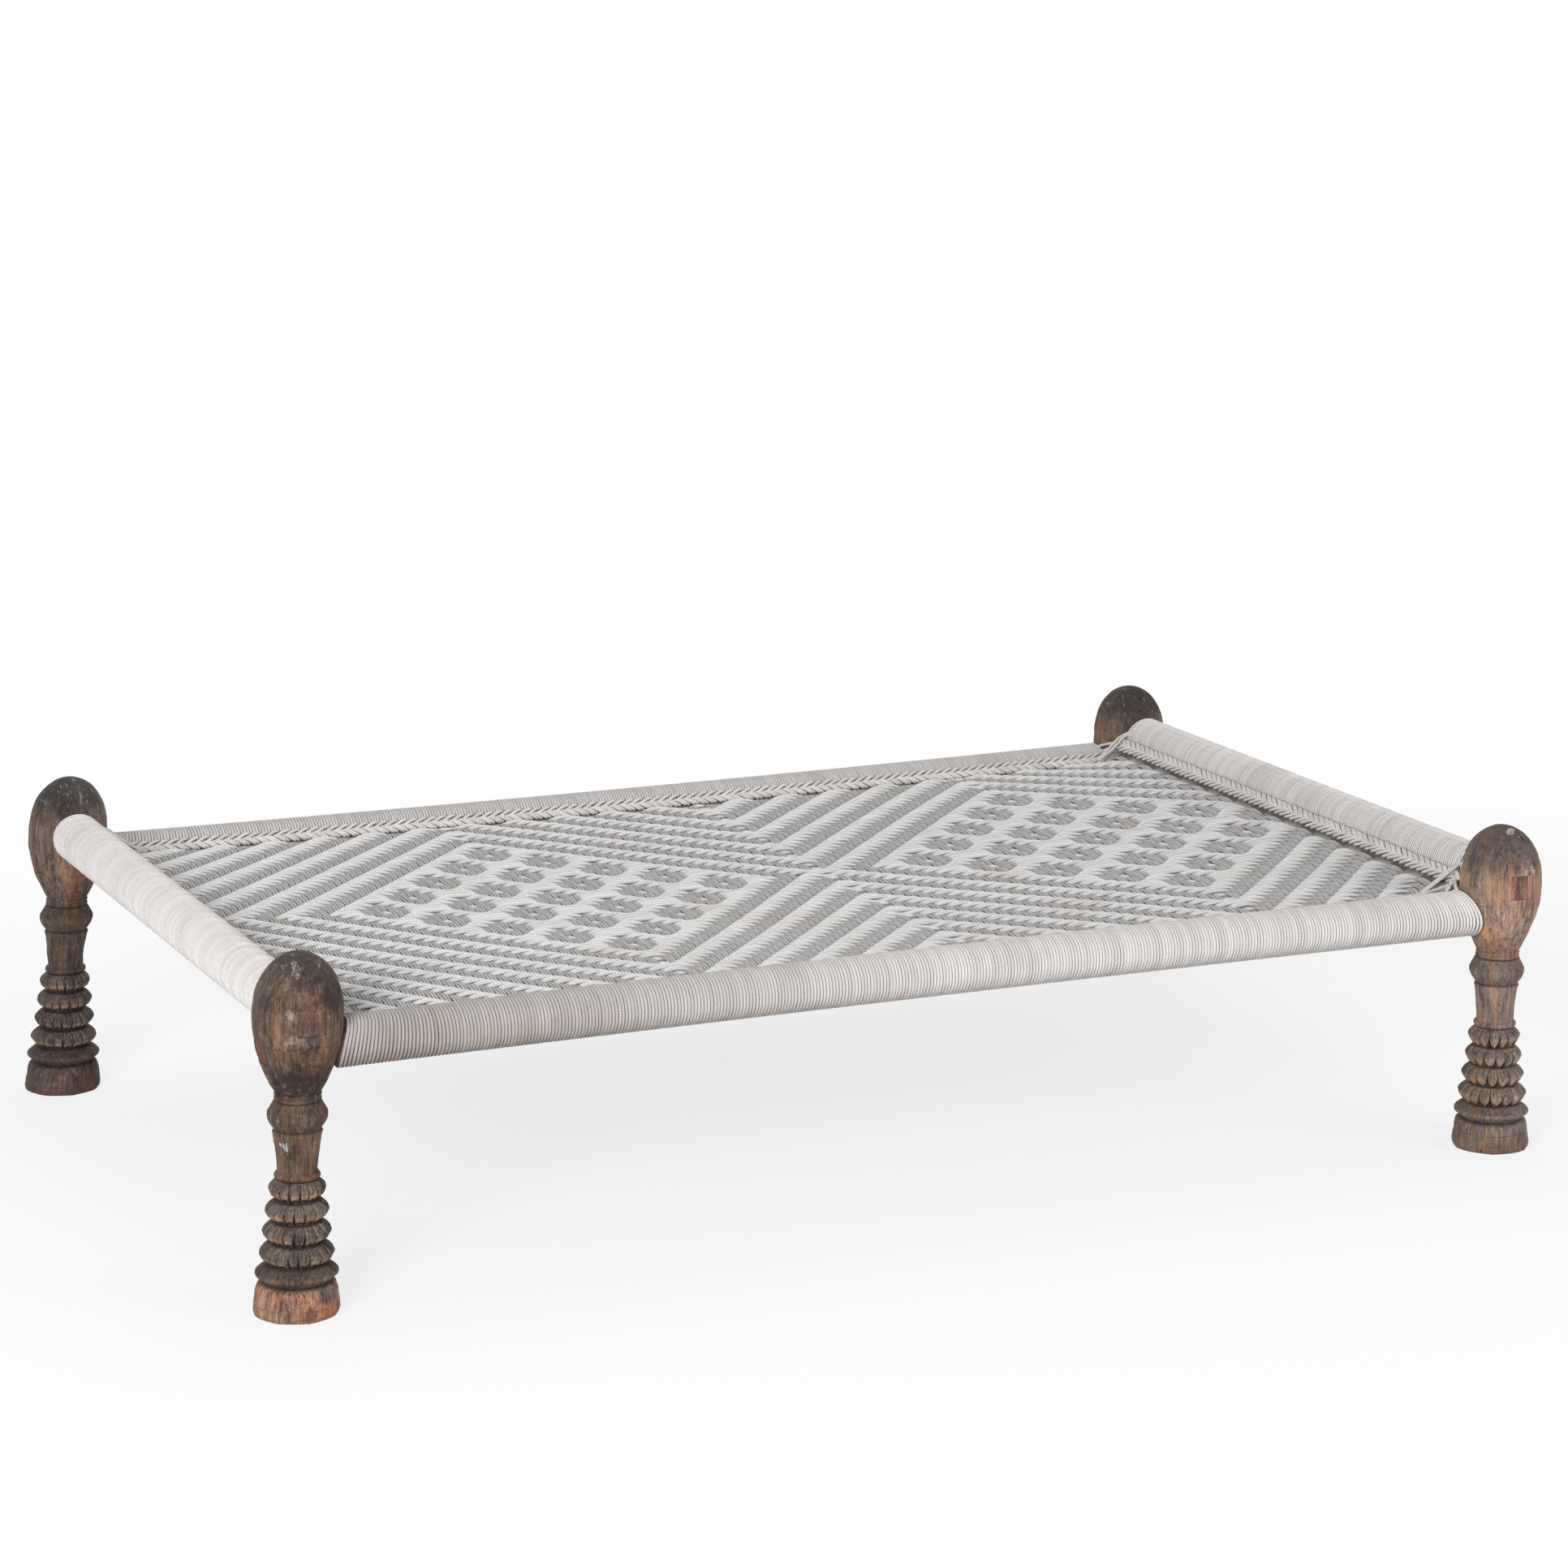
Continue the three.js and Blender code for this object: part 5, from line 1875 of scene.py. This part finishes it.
@dataclass
class CornerLashing:
    """The strands and loops that tie the panel's corner to a leg.

    Places are from the leg's axis: inwards on the diagonal, to the side, and the height.
    """

    corner: Corner
    seed: int
    cord: float = 4.3 * MM
    cord_sides: int = 8
    pair_at: Place = (0.0, 0.75, 1.0)
    pair: tuple[Place, Place, Place] = ((0.102, 0.066, 0.048), (-0.02, 0.005, 0.03), (0.35, 0.383, 0.393))
    pair_step: float = 4.6 * MM
    strands: int = 5
    fan_low: float = 347.5 * MM
    fan_high: float = 364 * MM
    loops: int = 4
    knots: int = 4

    def local(self, out: np.ndarray, side: np.ndarray, height: np.ndarray) -> np.ndarray:
        """Turns places by the leg into points.

        Args:
            out: From the leg's axis towards the bed's middle, on the corner's diagonal.
            side: Across the diagonal, positive towards the end rail.
            height: Above the floor.

        Returns:
            The points.
        """
        along, across = self.corner.outwards
        diagonal = np.array([-along, -across]) / math.sqrt(2.0)
        sideways = np.array([along, -across]) / math.sqrt(2.0)
        out, side, height = np.broadcast_arrays(*(np.asarray(v, float) for v in (out, side, height)))
        flat = np.array(self.corner.axis) + out[..., None] * diagonal + side[..., None] * sideways
        return np.concatenate([flat, height[..., None]], -1)

    def build(self, recipe: bpy.types.NodeTree, finish: bpy.types.Material) -> bpy.types.Object:
        """Lays the strands.

        Args:
            recipe: The cord's tree.
            finish: The cord's material.

        Returns:
            The lashing.
        """
        rng = np.random.default_rng(self.seed)
        paths = []
        share = np.linspace(0.0, 1.0, 11)
        bow = np.sin(share * math.pi)

        # A pair goes over the end rail, a fan goes to the head, and loops and knots bind both
        for off in (0.0, self.pair_step):
            out, side, high = (np.interp(share, self.pair_at, stops) for stops in self.pair)
            paths.append(self.local(out + off * 0.6, side + off * bow + off * 0.5, high - 0.0015 * bow))
        for strand in range(self.strands):
            lean = strand / (self.strands - 1)
            out = 0.112 - 0.012 * lean + (0.0625 - 0.112 + 0.012 * lean) * share
            side = -0.026 + 0.034 * lean + (0.022 - 0.022 * lean) * share
            side = side + 0.0016 * np.sin(3.0 * share + strand)
            high = self.fan_high - 0.011 * lean + rng.uniform(-0.0015, 0.0015)
            paths.append(self.local(out, side, self.fan_low + (high - self.fan_low) * share - 0.002 * bow))
        turn = np.linspace(-0.6, 0.6, 15)
        for loop in range(self.loops):
            height = 0.348 + 0.0075 * loop
            grip = float(PLAN.head_radius_at(np.array(height))) + 0.0026 + 0.0012 * (loop % 2)
            wave = 0.0022 * np.sin(turn * 4.0 + loop) + 0.02 * turn
            paths.append(self.local(grip * np.cos(turn), grip * np.sin(turn), height + wave))
        for knot in range(self.knots):
            centre = np.array([0.069 - 0.0015 * knot, -0.008 + 0.006 * knot, 0.356 + 0.0045 * knot])
            ring = np.linspace(0.0, 1.8 * math.pi, 18) + 1.3 * knot
            size = 0.0056 + 0.0007 * knot
            wound = np.stack([0.5 * size * np.sin(ring * 2.0), size * np.cos(ring), size * np.sin(ring)])
            paths.append(self.local(*(centre[:, None] + wound)))
        marks = {
            "lie": [np.tile((0.0, 0.0, 1.0), (len(path), 1)) for path in paths],
            "tone": [np.full(len(path), rng.uniform(0.2, 0.9)) for path in paths],
        }
        sizes = {"Cord Diameter": self.cord, "Sides": self.cord_sides, "Cord Finish": finish}
        return cook(recipe, f"corner_strands_{self.corner.label}", paths, sizes, marks)


# Studio


@dataclass(frozen=True)
class SoftLamp:
    """One area lamp: where it hangs, where it aims, its size and its power."""

    name: str
    place: Place
    size: float
    power: float
    aim: Place = (0.0, 0.0, 0.25)


@dataclass
class Studio:
    """The floor, the lamps, the background and the camera."""

    lamps: tuple[SoftLamp, ...] = (
        SoftLamp("key_lamp", (-3.7, -4.0, 2.3), 2.0, 240.0),
        SoftLamp("fill_lamp", (3.2, -4.0, 1.5), 2.2, 90.0),
        SoftLamp("top_lamp", (0.4, 1.0, 3.4), 2.4, 34.0),
    )
    ambient: float = 0.3
    camera_place: Place = (-2.3636, -5.2831, 1.7622)
    yaw: float = 0.4255
    pitch: float = 0.219
    roll: float = -0.0055
    lens: float = 98.81
    sensor: float = 36.0
    floor_reach: float = 14.0

    def build_floor(self) -> None:
        """Lays the floor."""
        signs = ((-1, -1), (1, -1), (1, 1), (-1, 1))
        corners = np.array([(x * self.floor_reach, y * self.floor_reach, 0.0) for x, y in signs])
        floor = shape("studio_floor", corners, [], [(0, 1, 2, 3)])
        floor.data.materials.append(StudioFloor().material())

    def build_world(self) -> None:
        """Makes the background white where it is seen, and a soft grey light otherwise."""
        world = bpy.data.worlds.new("studio_world")
        bpy.context.scene.world = world
        world.use_nodes = True
        b = NodeBench(world.node_tree)
        shader = world.node_tree.nodes["Background"]
        shader.inputs["Color"].default_value = (1.0, 1.0, 1.0, 1.0)
        b.feed(shader.inputs["Strength"], b.remap(b.seen(), 0.0, 1.0, self.ambient, 1.0))

    def build_lamps(self) -> None:
        """Hangs the lamps."""
        for lamp in self.lamps:
            light = bpy.data.lights.new(lamp.name, "AREA")
            light.shape, light.size, light.energy = "SQUARE", lamp.size, lamp.power
            made = shown(lamp.name, light)
            made.location = lamp.place
            aim = Vector(lamp.aim) - Vector(lamp.place)
            made.rotation_euler = aim.to_track_quat("-Z", "Y").to_euler()

    def build_camera(self) -> None:
        """Sets the camera at the photograph's viewing angle."""
        level = np.array([math.sin(self.yaw), math.cos(self.yaw), 0.0]) * math.cos(self.pitch)
        forward = level + np.array([0.0, 0.0, -math.sin(self.pitch)])
        right = np.array([math.cos(self.yaw), -math.sin(self.yaw), 0.0])
        down = np.cross(forward, right)
        rolled = math.cos(self.roll) * right + math.sin(self.roll) * down
        lower = -math.sin(self.roll) * right + math.cos(self.roll) * down
        camera = bpy.data.cameras.new("photo_camera")
        camera.sensor_width = self.sensor
        camera.lens = self.lens
        camera.clip_start, camera.clip_end = 0.1, 100.0
        made = shown("photo_camera", camera)
        turned = Matrix((rolled.tolist(), (-lower).tolist(), (-forward).tolist())).transposed().to_4x4()
        made.matrix_world = Matrix.Translation(self.camera_place) @ turned
        bpy.context.scene.camera = made

    def build(self) -> None:
        """Sets up the whole studio."""
        self.build_camera()
        self.build_floor()
        self.build_world()
        self.build_lamps()
        bpy.context.scene.view_settings.view_transform = "Standard"


# Pieces in order


def bed_rails() -> dict[RailSide, WoundRail]:
    """Lists the four rails with their own sizes.

    Returns:
        The rails by side.
    """
    steep, flat = TwineRow(18 * MM, 2, 4.9 * MM), TwineRow(27 * MM, 1, 5.6 * MM)
    side_edge = EdgeLay(math.radians(35.0), math.radians(36.0), flat, steep)
    upper, lower = TwineRow(24 * MM, 2, 4.3 * MM), TwineRow(32 * MM, 1, 5.0 * MM)
    end_edge = EdgeLay(math.radians(5.0), math.radians(56.0), upper, lower)
    side = (PLAN.side_rail_height, 27.5 * MM)
    end_ends = (EndTurns("front"), EndTurns("rear"))
    end = (PLAN.end_rail_height, 30.1 * MM, 0.0, PLAN.end_tenon, end_ends, end_edge)
    loose, left, right = EndTurns("left", 5, 0.28 * MM), EndTurns("left"), EndTurns("right")
    rails = (
        WoundRail(RailSide.FRONT, *side, 10 * MM, PLAN.side_tenon, (loose, right), side_edge, 1),
        WoundRail(RailSide.REAR, *side, 20 * MM, PLAN.side_tenon, (left, right), side_edge, 2),
        WoundRail(RailSide.LEFT, *end, 3),
        WoundRail(RailSide.RIGHT, *end, 4),
    )
    return {rail.side: rail for rail in rails}


def bed_legs() -> dict[Corner, TurnedLeg]:
    """Lists the four legs with their own wear.

    Returns:
        The legs by corner.
    """
    scorch, filler, rosy = srgb(40, 33, 31), srgb(128, 110, 104), srgb(112, 82, 70)
    front_left = AgedWood(
        "wood_leg_front_left",
        tones=(
            (0, 141, 106, 86), (38, 143, 108, 87), (41, 86, 71, 61), (62, 86, 71, 61),
            (63, 79, 65, 57), (168, 81, 66, 59), (171, 94, 73, 60), (230, 95, 75, 61),
            (233, 81, 67, 57), (268, 79, 64, 54), (280, 45, 29, 20), (306, 56, 38, 27),
            (330, 81, 61, 48), (380, 89, 69, 56), (414, 79, 62, 53), (450, 60, 47, 41),
        ),
        centre=Corner.FRONT_LEFT.axis,
        lean=-9 * MM,
        patina_height=0.432,
        rings=(14.5, 342.0, 388.0),
        chisel=(387.0, 401.0),
        foot_cuts=26.0,
        patches=(
            Patch(42, 50, 408, (24, 24, 36), scorch, 0.8),
            Patch(-8, 38, 288, (26, 20, 14), scorch, 0.85),
            Patch(-30, 50, 398, (22, 14, 10), scorch, 0.6, 2.6),
            Patch(13, 54, 404, (18, 12, 12), rosy, 0.7, 2.4),
            Patch(4, 56, 386, (14, 10, 9), filler, 0.8, 3.0),
            Patch(33, 56, 372, (6, 10, 20), filler, 0.75, 3.0),
            Patch(14, 56, 352, (20, 12, 7), filler, 0.75, 3.4),
            Patch(-19, 56, 362, (9, 10, 20), srgb(120, 94, 68), 0.6, 2.4),
            Patch(-33, 42, 293, (6, 10, 12), rosy, 0.8, 2.4),
            Patch(-1, 30, 437, (3, 10, 10), srgb(150, 140, 134), 0.6, 3.4),
            Patch(-1, 30, 211, (18, 14, 8), srgb(98, 64, 56), 0.5, 2.6),
            Patch(-12, 29, 215, (3.5, 8, 6.5), srgb(190, 190, 194), 0.8, 3.4),
            Patch(42, 50, 32, (26, 26, 13), srgb(84, 76, 72), 0.9, 1.6),
            Patch(25, 54, 10, (12, 14, 13), srgb(88, 54, 42), 0.85, 2.4),
        ),
        seed=0.31,
    )
    front_right = AgedWood(
        "wood_leg_front_right",
        contrast=1.05,
        tones=(
            (0, 114, 97, 90), (38, 112, 98, 91), (41, 112, 96, 89), (62, 112, 96, 89),
            (63, 132, 114, 104), (168, 132, 114, 104), (171, 128, 110, 105), (230, 128, 110, 105),
            (233, 113, 98, 91), (268, 112, 96, 89), (280, 126, 102, 90), (312, 146, 120, 106),
            (380, 148, 124, 112), (410, 92, 78, 73), (450, 70, 61, 59),
        ),
        centre=Corner.FRONT_RIGHT.axis,
        lean=0.5 * MM,
        patina_height=0.45,
        patina_strength=0.55,
        rings=(11.0, 25.0, 290.0, 306.0, 347.0),
        foot_cuts=60.0,
        patches=(
            Patch(25, 54, 399, (14, 18, 16), srgb(148, 110, 92), 0.6, 2.6),
            Patch(28, 56, 352, (16, 18, 16), srgb(138, 98, 84), 0.55, 2.6),
            Patch(-2, 54, 322, (22, 18, 14), srgb(148, 112, 94), 0.5, 2.6),
            Patch(-44, 54, 398, (24, 24, 26), srgb(74, 64, 58), 0.6, 2.0),
            Patch(12, 24, 444, (6, 9, 4), srgb(176, 168, 164), 0.7, 3.6),
            Patch(-10, 55, 336, (10, 10, 8), srgb(176, 160, 150), 0.6, 3.2),
            Patch(28, 54, 396, (8, 10, 10), srgb(186, 172, 164), 0.6, 3.4),
        ),
        seed=1.7,
    )
    rear_tones = (
        (0, 77, 61, 56), (60, 70, 58, 53), (168, 70, 58, 53), (230, 75, 61, 56), (268, 71, 59, 54),
        (300, 104, 84, 74), (380, 116, 96, 84), (415, 67, 60, 57), (450, 55, 50, 49),
    )
    rear_left = AgedWood(
        "wood_leg_rear_left",
        tones=rear_tones,
        centre=Corner.REAR_LEFT.axis,
        lean=-19 * MM,
        patina_height=0.412,
        rings=(12.0, 300.0, 348.0),
        seed=2.9,
    )
    rear_right = AgedWood(
        "wood_leg_rear_right",
        tones=rear_tones,
        centre=Corner.REAR_RIGHT.axis,
        lean=0.5 * MM,
        patina_height=0.42,
        rings=(12.0, 296.0, 350.0),
        chisel=(382.0, 399.0),
        seed=4.4,
    )
    legs = (
        TurnedLeg(Corner.FRONT_LEFT, front_left, 9 * MM, 11),
        TurnedLeg(Corner.FRONT_RIGHT, front_right, 0.5 * MM, 23, (17, 16, 16, 15), True, foot_sides=6),
        TurnedLeg(Corner.REAR_LEFT, rear_left, 19 * MM, 37, around=208),
        TurnedLeg(Corner.REAR_RIGHT, rear_right, 0.5 * MM, 41, pointed=True, around=208),
    )
    return {leg.corner: leg for leg in legs}


def rail_legs(side: RailSide, legs: dict[Corner, TurnedLeg]) -> tuple[TurnedLeg, TurnedLeg]:
    """Finds the legs at a rail's two ends.

    Args:
        side: The rail.
        legs: The legs by corner.

    Returns:
        The leg at its lower end, then the other.
    """
    across = 1 if side.along_x else 0
    met = [leg for leg in legs.values() if leg.corner.outwards[across] == side.sign]
    low, high = sorted(met, key=lambda leg: leg.corner.outwards[1 - across])
    return low, high


def main() -> None:
    """Builds the studio and the bed, piece by piece."""
    logging.basicConfig(level=logging.INFO, format="%(name)s %(message)s")
    Studio().build()

    # groove is the painted shade colour of the cords' grooves, flanks and dips
    light, groove = srgb(242, 238, 235), srgb(84, 73, 66)
    front_cord = CottonCord(
        "cord_front_rail",
        light,
        groove,
        handled_place=(-0.78, -0.53, 0.30),
        handled_reach=(0.85, 0.4, 0.16),
        underside_shade_top=0.325,
    )
    rail_cord = CottonCord("cord_rails", light, groove, groove_shade_share=0.2, flank_shade_share=1.0, soil_strength=0.45)
    rear_cord = CottonCord("cord_rear_rail", srgb(226, 222, 220), groove, soil_strength=0.5)
    # In these settings the groove and dip shares set painted shade, and the soil strength sets soiling
    worn = {"groove_shade_share": 0.5, "soil_strength": 0.3, "dip_shade_share": 0.9}
    # Both sets are one cord: the crosswise copy is painted greyer, as shade, than the lengthwise one
    long_cord = CottonCord("cord_panel_lengthwise", srgb(246, 245, 244), srgb(72, 66, 62), **worn)
    worn = {"groove_shade_share": 0.6, "soil_strength": 0.3, "dip_shade_share": 0.9}
    shaded_cross_cord = CottonCord("cord_panel_crosswise_shaded", srgb(213, 211, 210), srgb(58, 52, 48), **worn)
    worn = {"groove_shade_share": 0.5, "soil_strength": 0.4, "dip_shade_share": 0.5}
    edge_finish = CottonCord("cord_edges", srgb(238, 233, 229), srgb(76, 65, 58), **worn).material()
    pale_tones = ((0, 140, 104, 88), (450, 140, 104, 88))
    pole_wood = AgedWood("wood_poles", patina_height=0.9, seed=6.2).material()
    pale_wood = AgedWood("wood_right_pole", tones=pale_tones, patina_height=0.9, seed=7.7).material()
    end_finish = rail_cord.material()
    dressed_rails = {
        RailSide.FRONT: (pole_wood, front_cord.material()),
        RailSide.REAR: (pole_wood, rear_cord.material()),
        RailSide.LEFT: (pole_wood, end_finish),
        RailSide.RIGHT: (pale_wood, end_finish),
    }

    legs = bed_legs()
    for leg in legs.values():
        carry(leg.build(), "leg_wood", f"leg_{leg.corner.label}")

    winding, cord, edge = winding_recipe(), cord_recipe(), edge_recipe()
    rails = bed_rails()
    for side, rail in rails.items():
        wood, wound = dressed_rails[side]
        carry(rail.build_pole(rail_legs(side, legs), wood), "pole_wood", side.node)
        carry(rail.build_winding(winding, wound), "rail_cord", f"{side.node}_winding")
        for index, end in enumerate(rail.ends):
            turns = rail.build_end_turns(cord, wound, index)
            carry(turns, "rail_cord", f"{side.node}_turns_{end.side}")
        carry(rail.build_edge(edge, edge_finish), "edge_cord", f"{side.node}_edge_braid")

    woven = {LENGTHWISE: long_cord.material(), CROSSWISE: shaded_cross_cord.material()}
    for strip in WovenPanel(DiamondDraft(), rails).build(weave_recipe(), woven):
        carry(strip, "panel_cord", "woven_panel")

    for seed, corner in enumerate(Corner, 5):
        lashing = CornerLashing(corner, seed).build(cord, edge_finish)
        carry(lashing, "edge_cord", f"corner_lashing_{corner.label}")


if __name__ == "__main__":
    main()
